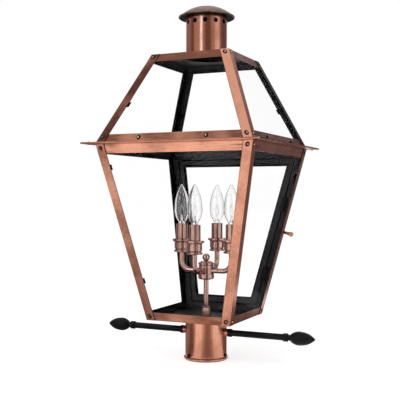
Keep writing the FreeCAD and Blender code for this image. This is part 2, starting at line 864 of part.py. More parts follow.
def make_cap():
    baffle = new_body("cap_baffle_body")
    inner_ball = d.cap_ball_radius - d.cap_sheet
    edge = ball_level_radius(inner_ball, cap_centre, baffle_top) - d.rivet_clearance
    revolve(baffle, "cap_baffle_disc", [(Size(0), chimney_top), (edge, chimney_top),
                                        (edge, baffle_top), (Size(0), baffle_top)])
    keep(baffle, "cap_baffle")
    foot = chimney_top + d.baffle_sheet / 2
    outer_foot = ball_level_radius(d.cap_ball_radius, cap_centre, foot)
    inner_foot = ball_level_radius(inner_ball, cap_centre, foot)
    dome = new_body("cap_dome_body")
    revolve(dome, "cap_dome_spun",
            [(Size(0), cap_centre + inner_ball), (POLE, cap_centre + inner_ball),
             (inner_foot, foot, inner_ball), (outer_foot, foot)]
            + pole(cap_centre + d.cap_ball_radius, -d.cap_ball_radius))
    bead = shape_object("Part::Torus", "cap_bead", Radius1=(outer_foot + inner_foot) / 2,
                        Radius2=d.cap_bead_radius)
    bead.Placement = at(0, 0, foot)
    clear = cylinder("cap_bead_clear", edge + d.rivet_clearance, DRILL_LENGTH,
                     at(0, 0, foot - DRILL_LENGTH / 2))
    keep(fuse("cap_dome", dome, cut("cap_bead_trimmed", bead, clear)), "cap_dome")


# ---------------------------------------------------------------- collar and ladder bar

collar_radius = d.post_bore_radius + d.collar_wall
bead_top = d.collar_bead_radius * 2


def make_collar():
    body = new_body("collar_body")
    lid_foot = d.collar_height - d.collar_lid
    outline = [(d.post_bore_radius, Size(0)), (collar_radius, Size(0)),
               (collar_radius, bead_top, -d.collar_bead_radius),
               (collar_radius, d.collar_height), (d.collar_wire_radius, d.collar_height),
               (d.collar_wire_radius, lid_foot), (d.post_bore_radius, lid_foot)]
    revolve(body, "collar_turned", outline)
    drill = cylinder("set_screw_drill", d.set_screw_radius + d.running_clearance,
                     collar_radius + DRILL_LENGTH, at(0, 0, 0))
    holes = copies("set_screw_holes", drill, [set_screw_place(number, 0.0)
                                              for number in range(int(d.set_screw_count))])
    keep(cut("post_collar", body, holes), "post_collar")


def set_screw_place(number, out):
    """Evenly round the collar, the first a little short of the front; Z points outward."""
    step = FULL_TURN / int(d.set_screw_count)
    outward = FreeCAD.Rotation(Z_AXIS, step * number + d.set_screw_start_angle)
    level = FreeCAD.Rotation(X_AXIS, QUARTER_TURN)
    turn = outward.multiply(level)
    height = bead_top + d.set_screw_rise
    point = turn.multVec(Z_AXIS) * float(out) + FreeCAD.Vector(0, 0, height)
    return FreeCAD.Placement(point, turn)


def make_set_screws():
    for number in range(int(d.set_screw_count)):
        label = f"set_screw_{number + 1}"
        body = new_body(label + "_body")
        head_seat = d.collar_wall + d.knuckle_gap
        outline = [(Size(0), Size(0)), (d.set_screw_radius, Size(0)), (d.set_screw_radius, head_seat),
                   (d.set_screw_head_radius, head_seat),
                   (d.set_screw_head_radius, head_seat + d.set_screw_head),
                   (Size(0), head_seat + d.set_screw_head)]
        revolve(body, label + "_turned", outline)
        body.Placement = set_screw_place(number, d.post_bore_radius)
        keep(body, label)


def make_ladder_bar():
    """Boss, rod and finial on each side, screwed into one another along X."""
    for side, angle in (("right", QUARTER_TURN), ("left", -QUARTER_TURN)):
        place = at(0, 0, d.bar_height, FreeCAD.Rotation(Y_AXIS, angle))
        make_boss(side, place)
        make_rod(side, place)
        make_finial(side, place)


boss_end = collar_radius + d.boss_length
finial_widest = d.bar_half_length - d.finial_tip
finial_neck_end = finial_widest - d.finial_swell
rod_end = finial_neck_end - d.finial_neck
ring_foot = rod_end - d.rod_outer_ring
spigot_bore = d.spigot_radius + d.running_clearance


def make_boss(side, place):
    """A short sleeve whose saddle sits on the collar."""
    foot = d.post_bore_radius - d.collar_wall
    boss = new_body("boss_blank_" + side)
    revolve(boss, "boss_turned_" + side,
            [(spigot_bore, foot), (d.boss_radius, foot), (d.boss_radius, boss_end), (spigot_bore, boss_end)])
    boss.Placement = place
    saddle = cylinder("boss_saddle_" + side, collar_radius + d.running_clearance, d.collar_height,
                      at(0, 0, 0))
    keep(cut("ladder_boss_" + side, boss, saddle), "ladder_boss_" + side)


def make_rod(side, place):
    """The rod, with a ring and a spigot at each end."""
    rod = new_body("rod_body_" + side)
    inner_ring_end = boss_end + d.rod_inner_ring
    revolve(rod, "rod_turned_" + side,
            [(Size(0), boss_end - d.spigot_length), (d.spigot_radius, boss_end - d.spigot_length),
             (d.spigot_radius, boss_end), (d.rod_ring_radius, boss_end),
             (d.rod_ring_radius, inner_ring_end), (d.rod_radius, inner_ring_end),
             (d.rod_radius, ring_foot), (d.rod_ring_radius, ring_foot), (d.rod_ring_radius, rod_end),
             (d.spigot_radius, rod_end), (d.spigot_radius, rod_end + d.spigot_length),
             (Size(0), rod_end + d.spigot_length)])
    rod.Placement = place
    keep(rod, "ladder_rod_" + side)


def make_finial(side, place):
    """An olive with a pointed end, bored for the rod's spigot."""
    finial = new_body("finial_body_" + side)
    bore_end = rod_end + d.spigot_length + d.knuckle_gap
    revolve(finial, "finial_turned_" + side,
            [(spigot_bore, rod_end), (d.finial_neck_radius, rod_end),
             (d.finial_neck_radius, finial_neck_end),
             (d.finial_radius, finial_widest, -d.finial_swell_curve)]
            + pole(d.bar_half_length, -d.finial_tip_curve)
            + [(Size(0), bore_end), (spigot_bore, bore_end)])
    finial.Placement = place
    keep(finial, "ladder_finial_" + side)


# ---------------------------------------------------------------- door

def door_half(height, inset=0.0):
    return body_wall.half(height) - d.angle_flange - d.door_gap - inset


def door_outline(inset):
    """A trapezoid parallel to the door's edges, drawn up the slope from the door's foot."""
    low = door_low + inset / body_wall.slant
    high = door_high - inset / body_wall.slant
    foot = body_wall.up_slope(door_low, low)
    head = body_wall.up_slope(door_low, high)
    return [(-door_half(low, inset), foot), (door_half(low, inset), foot),
            (door_half(high, inset), head), (-door_half(high, inset), head)]


def make_door():
    """A framed pane, flush with the legs, with its glass in a rebate at the back."""
    place = on_face(DOOR_FACE, body_wall, door_low, 0.0, -d.door_depth)
    frame = new_body("door_frame_body")
    rebate_inset = d.door_rail - d.door_rebate
    sketch = profile(frame, "door_outline", "XY_Plane", door_outline(Size(0)))
    pad(frame, "door_blank", sketch, d.door_depth)
    window = profile(frame, "door_window", "XY_Plane", door_outline(d.door_rail))
    pocket(frame, "door_window_cut", window, d.door_depth, backward=False)
    rebate = profile(frame, "door_rebate_outline", "XY_Plane", door_outline(rebate_inset))
    pocket(frame, "door_rebate_cut", rebate, d.door_depth - d.door_lip, backward=False)
    frame.Placement = place
    keep(frame, "door_frame")
    glass = new_body("door_glass_body")
    outline = door_outline(rebate_inset + d.door_glass_clearance)
    offset = d.door_depth - d.door_lip - d.door_glass_sheet
    sketch = profile(glass, "door_glass_outline", "XY_Plane", outline, offset)
    pad(glass, "door_glass_pane", sketch, d.door_glass_sheet)
    glass.Placement = place
    keep(glass, "door_glass")


def make_door_stops():
    """Two bent stops on the latch leg's flange, which reach behind the door's stile."""
    flange_back = body_wall.square_to_face(d.angle_sheet)
    stop_face = d.door_depth + d.stop_clearance
    stop_back = stop_face + d.stop_sheet
    edge = d.angle_flange
    body = new_body("door_stop_body")
    outline = [(edge, -flange_back), (edge - d.stop_foot, -flange_back), (edge - d.stop_foot, -stop_back),
               (edge + d.stop_reach, -stop_back), (edge + d.stop_reach, -stop_face), (edge, -stop_face)]
    sketch = profile(body, "door_stop_section", "XZ_Plane", outline)
    pad(body, "door_stop_run", sketch, d.stop_length,
        (body_wall.lean / body_wall.slant, Size(-1.0), Size(0.0)))
    places = [on_face(DOOR_FACE, body_wall, height, -body_wall.half(height))
              for height in (latch_height - d.stop_low_drop, latch_height + d.stop_high_rise)]
    keep(copies("door_stops", body, places), "door_stops")


def hinge_place(height):
    """The hinge line: Z up the door's edge, X towards the door, Y out of the face."""
    along = body_wall.half(height) - d.angle_flange - d.door_gap / 2
    base = on_face(DOOR_FACE, body_wall, height, along, d.hinge_barrel_radius)
    lean = math.degrees(math.atan2(body_wall.lean, body_wall.slant))
    # from the face's frame: its Y, leant with the edge, becomes Z; away from the corner becomes X
    swing = FreeCAD.Rotation(Z_AXIS, -lean)
    up = swing.multVec(Y_AXIS)
    inward = swing.multVec(-X_AXIS)
    axes = FreeCAD.Rotation(inward, Z_AXIS, up, "ZXY")
    return base.multiply(FreeCAD.Placement(FreeCAD.Vector(), axes))


def hinge_leaf(name, direction, spans, others):
    """A leaf with knuckles on its own spans, cut back round the other leaf's knuckles."""
    clear = d.hinge_barrel_radius + d.knuckle_gap
    plate = shape_object("Part::Box", name + "_plate", Length=d.hinge_leaf, Width=d.hinge_sheet,
                         Height=d.hinge_length)
    left = -d.hinge_leaf if direction < 0 else Size(0)
    plate.Placement = at(left, -d.hinge_barrel_radius, -d.hinge_length / 2)
    barrels = [cylinder(f"{name}_knuckle_{number}", d.hinge_barrel_radius, high - low, at(0, 0, low))
               for number, (low, high) in enumerate(spans, 1)]
    gaps = [cylinder(f"{name}_relief_{number}", clear, high - low + d.knuckle_gap * 2,
                     at(0, 0, low - d.knuckle_gap))
            for number, (low, high) in enumerate(others, 1)]
    bore = cylinder(name + "_bore", d.hinge_pin_radius + d.running_clearance, d.hinge_length * 2,
                    at(0, 0, -d.hinge_length))
    return cut(name, fuse(name + "_joined", plate, *barrels), bore, *gaps)


def make_hinges():
    end = d.hinge_length / 2
    middle = d.hinge_length / 3
    frame_knuckle = (middle + d.knuckle_gap) / 2
    door_knuckle = (middle - d.knuckle_gap) / 2
    frame_spans = [(-end, -frame_knuckle), (frame_knuckle, end)]
    door_spans = [(-door_knuckle, door_knuckle)]
    places = [hinge_place(door_low + d.hinge_low_rise), hinge_place(door_high - d.hinge_high_drop)]
    frame_leaf = hinge_leaf("frame_leaf", -1, frame_spans, door_spans)
    keep(copies("hinge_frame_leaves", frame_leaf, places), "hinge_frame_leaves")
    door_leaf = hinge_leaf("door_leaf", 1, door_spans, frame_spans)
    keep(copies("hinge_door_leaves", door_leaf, places), "hinge_door_leaves")
    pin = new_body("hinge_pin")
    revolve(pin, "hinge_pin_turned",
            [(Size(0), -end), (d.hinge_pin_radius, -end), (d.hinge_pin_radius, end),
             (d.hinge_pin_head_radius, end), (d.hinge_pin_head_radius, end + d.hinge_pin_head),
             (Size(0), end + d.hinge_pin_head)])
    keep(copies("hinge_pins", pin, places), "hinge_pins")


def make_latch():
    """A turn button on the latch leg; at rest it points away from the door."""
    lever = new_body("latch_lever_body")
    root = d.latch_root_width / 2
    tip = d.latch_tip_width / 2
    eye = d.latch_head_radius
    blade = d.latch_length - tip
    outline = [(d.latch_pin_radius, -root), (d.latch_neck, -root), (blade, -tip, d.latch_side_curve),
               (blade, tip, -tip), (d.latch_neck, root, d.latch_side_curve), (d.latch_pin_radius, root)]
    sketch = profile(lever, "latch_lever_outline", "XY_Plane", outline)
    pad(lever, "latch_lever_blade", sketch, d.latch_sheet)
    disc = cylinder("latch_eye", eye, d.latch_sheet, at(0, 0, 0))
    hole = cylinder("latch_eye_hole", d.latch_pin_radius + d.running_clearance, DRILL_LENGTH,
                    at(0, 0, -DRILL_LENGTH / 2))
    # in the door face's frame +X of the lantern is to the left, so the lever turns half round
    turn = FreeCAD.Rotation(Z_AXIS, FULL_TURN / 2 + d.latch_droop)
    place = latch_place(d.latch_lift).multiply(FreeCAD.Placement(FreeCAD.Vector(), turn))
    piece = keep(cut("latch_lever", fuse("latch_lever_joined", lever, disc), hole), "latch_lever")
    piece.Placement = place
    pin = new_body("latch_pivot_body")
    flange_back = -body_wall.square_to_face(d.angle_sheet) - d.knuckle_gap
    seat = d.latch_lift + d.latch_sheet
    nut_foot = flange_back - d.latch_nut_height
    outline = [(Size(0), nut_foot), (d.latch_nut_radius, nut_foot), (d.latch_nut_radius, flange_back),
               (d.latch_pin_radius, flange_back), (d.latch_pin_radius, seat), (d.latch_head_radius, seat)]
    outline += pole(seat + d.latch_head_rise, -dome_radius(d.latch_head_radius, d.latch_head_rise))
    revolve(pin, "latch_pivot_turned", outline)
    pin.Placement = latch_place()
    keep(pin, "latch_pivot")


# ---------------------------------------------------------------- candle cluster

coupling_top = floor_top + d.coupling_height
stem_foot = floor_top + d.stem_seat
hub_foot = d.arm_height - d.hub_drop
hub_top = hub_foot + d.hub_height
cover_top = hub_top + d.hub_cover
cup_foot = d.arm_height + d.cup_rise
cup_cavity_foot = cup_foot + d.cup_floor
cup_top = cup_foot + d.cup_height
sleeve_top = cup_cavity_foot + d.sleeve_length
socket_top = sleeve_top - d.socket_top_drop
bulb_cap_foot = socket_top - d.socket_bore_depth + d.bulb_cap_seat


def make_stem():
    stem_bore = d.stem_radius + d.running_clearance
    coupling = new_body("stem_coupling_body")
    lip_foot = coupling_top - d.coupling_lip
    revolve(coupling, "stem_coupling_turned",
            [(d.stem_radius - d.stem_wall, floor_top), (d.coupling_foot_radius, floor_top),
             (d.coupling_radius, floor_top + d.coupling_belly, -d.coupling_belly_curve),
             (d.coupling_neck_radius, lip_foot - d.coupling_lip_bevel, -d.coupling_neck_curve),
             (d.coupling_lip_radius, lip_foot),
             (d.coupling_lip_radius, coupling_top), (stem_bore, coupling_top), (stem_bore, stem_foot),
             (d.stem_radius - d.stem_wall, stem_foot)])
    keep(coupling, "stem_coupling")
    stem = new_body("candle_stem_body")
    stem_top = hub_foot + d.hub_floor
    revolve(stem, "candle_stem_turned",
            [(d.stem_radius - d.stem_wall, stem_foot), (d.stem_radius, stem_foot),
             (d.stem_radius, stem_top), (d.stem_radius - d.stem_wall, stem_top)])
    keep(stem, "candle_stem")


def make_hub():
    hub = new_body("hub_cup")
    cavity = d.hub_radius - d.hub_wall
    ring_top = hub_foot + d.hub_ring
    floor_level = hub_foot + d.hub_floor
    step = d.hub_ring_radius - d.hub_radius
    stem_bore = d.stem_radius + d.running_clearance
    revolve(hub, "hub_turned",
            [(stem_bore, hub_foot), (cavity, hub_foot),
             (d.hub_ring_radius, floor_level, -d.hub_foot_curve),
             (d.hub_ring_radius, ring_top - step), (d.hub_radius, ring_top), (d.hub_radius, hub_top),
             (cavity, hub_top), (cavity, floor_level), (stem_bore, floor_level)])
    drill = cylinder("arm_drill", d.arm_radius + d.running_clearance, d.hub_ring_radius + DRILL_LENGTH,
                     at(0, 0, 0))
    outward = FreeCAD.Rotation(Y_AXIS, QUARTER_TURN)
    ports = [around(angle).multiply(at(0, 0, d.arm_height, outward)) for angle in arm_angles()]
    keep(cut("hub_body", hub, copies("arm_ports", drill, ports)), "hub_body")
    cover = new_body("hub_cover_body")
    cover_rim = d.hub_radius + d.hub_cover_lip
    groove_floor = d.hub_radius - d.hub_groove
    groove_top = hub_top + d.hub_groove
    revolve(cover, "hub_cover_turned",
            [(d.ball_screw_radius + d.running_clearance, hub_top), (groove_floor, hub_top),
             (groove_floor, groove_top), (cover_rim, groove_top),
             (cover_rim, hub_top + d.hub_cover_side),
             (d.hub_cover_neck_radius, cover_top, d.hub_radius),
             (d.ball_screw_radius + d.running_clearance, cover_top)])
    keep(cover, "hub_cover")
    ball = new_body("ball_finial_body")
    ball_centre = cover_top + d.ball_neck + d.ball_centre_rise
    ball_foot = root_of(d.ball_radius * d.ball_radius - d.ball_neck_radius * d.ball_neck_radius)
    revolve(ball, "ball_finial_turned",
            [(Size(0), hub_top - d.hub_cover), (d.ball_screw_radius, hub_top - d.hub_cover),
             (d.ball_screw_radius, cover_top), (d.ball_neck_radius, cover_top),
             (d.ball_neck_radius, ball_centre - ball_foot), (d.ball_radius, ball_centre, -d.ball_radius)]
            + pole(ball_centre + d.ball_radius, -d.ball_radius))
    keep(ball, "ball_finial")


def arm_angles():
    return [FULL_TURN / int(d.arm_count) * number for number in range(int(d.arm_count))]


def around(angle, x=0.0, z=0.0):
    turn = FreeCAD.Rotation(Z_AXIS, angle)
    return FreeCAD.Placement(turn.multVec(FreeCAD.Vector(x, 0, z)), turn)


def arm_tube(name, radius):
    """A solid round bar out of the hub, round one bend and up into a cup."""
    start = d.hub_radius - d.hub_wall - d.arm_into_hub
    route = [(start, d.arm_height), (d.arm_reach - d.arm_bend_radius, d.arm_height),
             (d.arm_reach, d.arm_height + d.arm_bend_radius, -d.arm_bend_radius),
             (d.arm_reach, cup_foot + d.cup_floor / 2)]
    body = new_body(name)
    path = attached_sketch(body, name + "_path", "XZ_Plane")
    draw(path, route, closed=False)
    section = attached_sketch(body, name + "_section", "YZ_Plane", start)
    section.addGeometry(Part.Circle(FreeCAD.Vector(0, d.arm_height, 0), Z_AXIS, float(radius)), False)
    tie_point(section, 0, CENTRE, (Size(0), d.arm_height))
    constrain(section, radius, "Radius", 0)
    doc.recompute()
    pipe = body.newObject("PartDesign::AdditivePipe", name + "_bar")
    pipe.Profile = section
    pipe.Spine = (path, ["Edge1", "Edge2", "Edge3"])
    return body


def make_arms():
    tube = cut("arm_tube", arm_tube("arm_outside", d.arm_radius),
               arm_tube("arm_inside", d.arm_radius - d.arm_wall))
    keep(copies("candle_arms", tube, [around(angle) for angle in arm_angles()]), "candle_arms")


def make_candles():
    """Cup, sleeve and socket on each arm."""
    places = [around(angle, d.arm_reach) for angle in arm_angles()]
    cavity = d.sleeve_radius + d.running_clearance
    arm_bore = d.arm_radius + d.running_clearance
    wire_bore = d.arm_radius - d.arm_wall
    arm_seat = cup_foot + d.cup_floor / 2
    foot_top = cup_foot + d.cup_foot
    waist_top = foot_top + d.cup_waist
    rim_foot = cup_top - d.cup_rim
    cup = new_body("candle_cup")
    revolve(cup, "candle_cup_turned",
            [(arm_bore, cup_foot), (d.cup_foot_radius - d.cup_foot_bevel, cup_foot),
             (d.cup_foot_radius, cup_foot + d.cup_foot_bevel),
             (d.cup_foot_radius, foot_top - d.cup_foot_bevel), (d.cup_waist_radius, foot_top),
             (d.cup_waist_radius, waist_top), (d.cup_radius, waist_top + d.cup_shoulder),
             (d.cup_radius, rim_foot - d.cup_flare), (d.cup_rim_radius, rim_foot, d.cup_flare_curve),
             (d.cup_rim_radius, cup_top), (cavity, cup_top), (cavity, cup_cavity_foot),
             (wire_bore, cup_cavity_foot), (wire_bore, arm_seat), (arm_bore, arm_seat)])
    keep(copies("candle_cups", cup, places), "candle_cups")
    sleeve = new_body("candle_sleeve")
    revolve(sleeve, "candle_sleeve_turned",
            [(d.sleeve_radius - d.sleeve_wall, cup_cavity_foot), (d.sleeve_radius, cup_cavity_foot),
             (d.sleeve_radius, sleeve_top), (d.sleeve_radius - d.sleeve_wall, sleeve_top)])
    keep(copies("candle_sleeves", sleeve, places), "candle_sleeves")
    socket = new_body("candle_socket")
    bore = d.bulb_cap_radius + d.running_clearance
    bore_foot = socket_top - d.socket_bore_depth
    revolve(socket, "candle_socket_turned",
            [(Size(0), cup_cavity_foot), (d.socket_radius, cup_cavity_foot), (d.socket_radius, socket_top),
             (bore, socket_top), (bore, bore_foot), (Size(0), bore_foot)])
    keep(copies("candle_sockets", socket, places), "candle_sockets")


def make_bulbs():
    """A screw cap and a torpedo-shaped glass for each candle."""
    cap_outline = [(Size(0), bulb_cap_foot), (d.bulb_cap_tip_radius, bulb_cap_foot),
                   (d.bulb_cap_radius, bulb_cap_foot + d.bulb_cap_tip),
                   (d.bulb_cap_radius, sleeve_top), (Size(0), sleeve_top)]
    glass_outline = bulb_outline(sleeve_top)
    for number, angle in enumerate(arm_angles(), 1):
        place = around(angle, d.arm_reach)
        cap = new_body(f"bulb_cap_body_{number}")
        revolve(cap, f"bulb_cap_turned_{number}", cap_outline)
        cap.Placement = place
        keep(cap, f"bulb_cap_{number}")
        glass = new_body(f"bulb_glass_body_{number}")
        revolve(glass, f"bulb_glass_blown_{number}", glass_outline)
        glass.Placement = place
        keep(glass, f"bulb_glass_{number}")


def bulb_outline(foot):
    """Outside up from the neck to the tip, then back down the inside."""
    wall = d.bulb_wall
    neck = foot + d.bulb_neck
    widest = foot + d.bulb_swell
    top = foot + d.bulb_length
    tip_foot = top - d.bulb_tip_radius
    inside_top = top - wall * 2
    outside = [(Size(0), foot), (d.bulb_neck_radius, foot), (d.bulb_neck_radius, neck),
               (d.bulb_radius, widest, -d.bulb_swell_curve),
               (d.bulb_tip_radius, tip_foot, -d.bulb_taper_curve)]
    outside += pole(top, -d.bulb_tip_curve)
    inside = [(Size(0), inside_top), (POLE, inside_top),
              (d.bulb_tip_radius - wall, tip_foot, d.bulb_tip_inner_curve),
              (d.bulb_radius - wall, widest, d.bulb_taper_curve),
              (d.bulb_neck_radius - wall, neck, d.bulb_swell_curve),
              (d.bulb_neck_radius - wall, foot + wall), (Size(0), foot + wall)]
    return outside + inside


# ---------------------------------------------------------------- build and write

def check(objects):
    """Stops if any feature failed or any finished piece has no sound solid."""
    for obj in objects:
        if "Invalid" in obj.State or "Error" in obj.State:
            raise RuntimeError(f"{obj.Name} failed: {obj.State}")
    labels = [piece.Label for piece in pieces]
    if len(set(labels)) != len(labels):
        raise RuntimeError("two pieces share a name")
    for piece in pieces:
        shape = piece.Shape
        if shape.isNull() or not shape.isValid() or not shape.Solids:
            raise RuntimeError(f"{piece.Label} has no sound solid")


def write():
    os.makedirs("parts", exist_ok=True)
    for piece in pieces:
        piece.Shape.exportStep(f"parts/{piece.Label}.step")
        solids = piece.Shape.Solids
        print(f"{piece.Label}: {len(solids)} solid(s), {sum(s.Volume for s in solids):.1f} mm3")


make_collar()
make_set_screws()
make_ladder_bar()
make_angles()
make_base_pan()
make_waist_band()
make_roof_skirt()
make_roof_top_pan()
make_chimney()
make_cap()
make_glass()
make_clips()
make_rivets()
make_skirt_screws()
make_door()
make_door_stops()
make_hinges()
make_latch()
make_stem()
make_hub()
make_arms()
make_candles()
make_bulbs()
doc.recompute()
check(doc.Objects)
write()
print(len(pieces), "nodes")
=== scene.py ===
# %% [markdown]
# # A post top lantern in aged copper
# The lantern's sheet metal, glass and fittings arrive as a finished frame, every piece at its real size
# and place. What is left to learn here is how to dress it: how brushed copper, black lacquer and clear
# glass are made as materials, what goes inside a candle bulb, and how a plain studio lights them.

# %% Load the frame
import math

import bmesh
import bpy
from mathutils import Matrix, Quaternion, Vector


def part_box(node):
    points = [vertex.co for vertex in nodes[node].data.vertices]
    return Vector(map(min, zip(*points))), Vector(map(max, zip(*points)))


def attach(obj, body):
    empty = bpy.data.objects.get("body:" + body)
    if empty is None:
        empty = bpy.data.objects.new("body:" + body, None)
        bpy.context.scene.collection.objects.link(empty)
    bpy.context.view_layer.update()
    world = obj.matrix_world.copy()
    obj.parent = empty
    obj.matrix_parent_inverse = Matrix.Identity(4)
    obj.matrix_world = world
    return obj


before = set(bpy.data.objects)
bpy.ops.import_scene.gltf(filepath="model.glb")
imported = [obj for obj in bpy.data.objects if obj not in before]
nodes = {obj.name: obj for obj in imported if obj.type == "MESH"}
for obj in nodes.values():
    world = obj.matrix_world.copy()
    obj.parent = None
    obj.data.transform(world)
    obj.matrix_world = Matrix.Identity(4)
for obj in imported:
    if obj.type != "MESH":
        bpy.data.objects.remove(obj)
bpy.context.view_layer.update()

# %% [markdown]
# ## The camera
# The picture was taken from a little below the roof's edge and to one side of the front. The camera's
# place was worked out from the lantern's own corners, so it is given as a point, a direction to look along
# and a tilt. A long lens keeps the lantern's upright lines almost parallel.

# %% Camera
CAMERA_PLACE = Vector((0.6058, -1.3468, 0.3134))
CAMERA_LOOKS_ALONG = Vector((-0.4177, 0.9086, -0.0061))
CAMERA_ROLL = math.radians(0.12)
PICTURE_WIDTH = 400.0
FOCAL_PIXELS = 767.98
SENSOR = 36.0

camera_data = bpy.data.cameras.new("camera")
camera_data.sensor_width = SENSOR
camera_data.lens = FOCAL_PIXELS * SENSOR / PICTURE_WIDTH
camera = bpy.data.objects.new("camera", camera_data)
camera.rotation_mode = "QUATERNION"
camera.location = CAMERA_PLACE
camera.rotation_quaternion = (CAMERA_LOOKS_ALONG.to_track_quat("-Z", "Y")
                              @ Quaternion((0.0, 0.0, 1.0), CAMERA_ROLL))
bpy.context.scene.collection.objects.link(camera)
bpy.context.scene.camera = camera
bpy.context.scene.view_settings.view_transform = "Standard"
print("The lens is", round(camera_data.lens, 2), "mm long")

# %% [markdown]
# ## Small helpers for materials
# A procedural material is a web of nodes. Two helpers keep that web readable: one adds a node and sets its
# values, the other builds a node group, a reusable effect with named inputs and outputs.

# %% Node helpers
def add(tree, kind, inputs=(), **settings):
    """Adds a node. inputs maps a socket to a plain value or to the output that feeds it."""
    node = tree.nodes.new(kind)
    for name, value in settings.items():
        setattr(node, name, value)
    for key, value in dict(inputs).items():
        socket = node.inputs[key]
        if isinstance(value, bpy.types.NodeSocket):
            tree.links.new(value, socket)
        else:
            socket.default_value = value
    return node


def math_node(tree, operation, *values, clamp=False):
    node = add(tree, "ShaderNodeMath", enumerate(values), operation=operation, use_clamp=clamp)
    return node.outputs[0]


def ramp_between(tree, value, start, end, low=0.0, high=1.0):
    """A soft step: low before start, high after end."""
    node = add(tree, "ShaderNodeMapRange", {"Value": value, "From Min": start, "From Max": end,
                                            "To Min": low, "To Max": high},
               interpolation_type="SMOOTHSTEP")
    return node.outputs[0]


def mix_colour(tree, share, first, second):
    """The first colour where share is 0 and the second where it is 1."""
    node = add(tree, "ShaderNodeMix", {0: share, 6: first, 7: second}, data_type="RGBA")
    return node.outputs[2]


def mix_value(tree, share, first, second):
    node = add(tree, "ShaderNodeMix", {0: share, 2: first, 3: second}, data_type="FLOAT")
    return node.outputs[0]


def new_group(name, inputs, outputs):
    """An empty shader group with its sockets. inputs gives (name, kind, default)."""
    group = bpy.data.node_groups.new(name, "ShaderNodeTree")
    for socket_name, kind, default in inputs:
        socket = group.interface.new_socket(socket_name, in_out="INPUT", socket_type=kind)
        socket.default_value = default
    for socket_name, kind in outputs:
        group.interface.new_socket(socket_name, in_out="OUTPUT", socket_type=kind)
    entry = group.nodes.new("NodeGroupInput")
    leave = group.nodes.new("NodeGroupOutput")
    return group, entry.outputs, leave.inputs


def use_group(tree, group, **inputs):
    """Places a group in a material. A socket called 'Top faces' is given as top_faces."""
    node = tree.nodes.new("ShaderNodeGroup")
    node.node_tree = group
    for name, value in inputs.items():
        socket = node.inputs[name.capitalize().replace("_", " ")]
        if isinstance(value, bpy.types.NodeSocket):
            tree.links.new(value, socket)
        else:
            socket.default_value = value
    return node.outputs


FLOAT, COLOUR, VECTOR = "NodeSocketFloat", "NodeSocketColor", "NodeSocketVector"

# %% [markdown]
# ## Which side of a sheet is which
# The lantern is folded from sheet that is brushed copper outside and lacquered black inside, and the cut
# edges are dark too. Each leg or band is one solid, so the material itself must tell the sides apart. A
# face looks outwards when its normal points away from the lantern's upright axis. Flat rims have no such
# direction, so two inputs say whether top faces or bottom faces count as outside.

# %% Group: outside of the sheet
LOOKS_OUT = (0.3, 0.4)
LOOKS_UP = (0.7, 0.8)
LOOKS_DOWN = (-0.7, -0.8)


def make_outside_group():
    group, given, out = new_group("outside_of_sheet",
                                  [("Top faces", FLOAT, 0.0), ("Bottom faces", FLOAT, 0.0)],
                                  [("Outside", FLOAT)])
    place = add(group, "ShaderNodeTexCoord")
    flat = add(group, "ShaderNodeVectorMath", {0: place.outputs["Object"], 1: (1.0, 1.0, 0.0)},
               operation="MULTIPLY")
    away = add(group, "ShaderNodeVectorMath", {0: flat.outputs[0]}, operation="NORMALIZE")
    facing = add(group, "ShaderNodeVectorMath", {0: away.outputs[0], 1: place.outputs["Normal"]},
                 operation="DOT_PRODUCT")
    walls = ramp_between(group, facing.outputs["Value"], *LOOKS_OUT)
    upward = add(group, "ShaderNodeSeparateXYZ", {0: place.outputs["Normal"]}).outputs[2]
    tops = math_node(group, "MULTIPLY", ramp_between(group, upward, *LOOKS_UP), given["Top faces"])
    bottoms = math_node(group, "MULTIPLY", ramp_between(group, upward, *LOOKS_DOWN), given["Bottom faces"])
    flats = math_node(group, "ADD", tops, bottoms)
    group.links.new(math_node(group, "ADD", walls, flats, clamp=True), out["Outside"])
    return group


outside_group = make_outside_group()
print("Group:", outside_group.name)

# %% [markdown]
# ## Brushed and aged copper
# Brushing leaves fine scratches in one direction. A noise texture that is squeezed across the scratches
# and stretched along them gives that grain, and a second, much larger noise gives the clouds of an
# antique finish, where the brown patina was rubbed back unevenly. One group makes both and blends a
# rubbed and a tarnished colour with them. Its dullness is the roughness of a rubbed place.

# %% Group: brushed copper
BRUSHED_DULLNESS = 0.24
NOISE_SPAN = (0.3, 0.7)
CLOUD_SPAN = (0.35, 0.7)
GRAIN_NOISE = {"Scale": 1.0, "Detail": 4.0, "Roughness": 0.65}
CLOUD_NOISE = {"Scale": 14.0, "Detail": 5.0, "Roughness": 0.6}
GRAIN_CHANGE = 0.12
CLOUD_CHANGE = 0.25
GRAIN_ROUGHENS = 0.5
TARNISH_ROUGHENS = 0.14


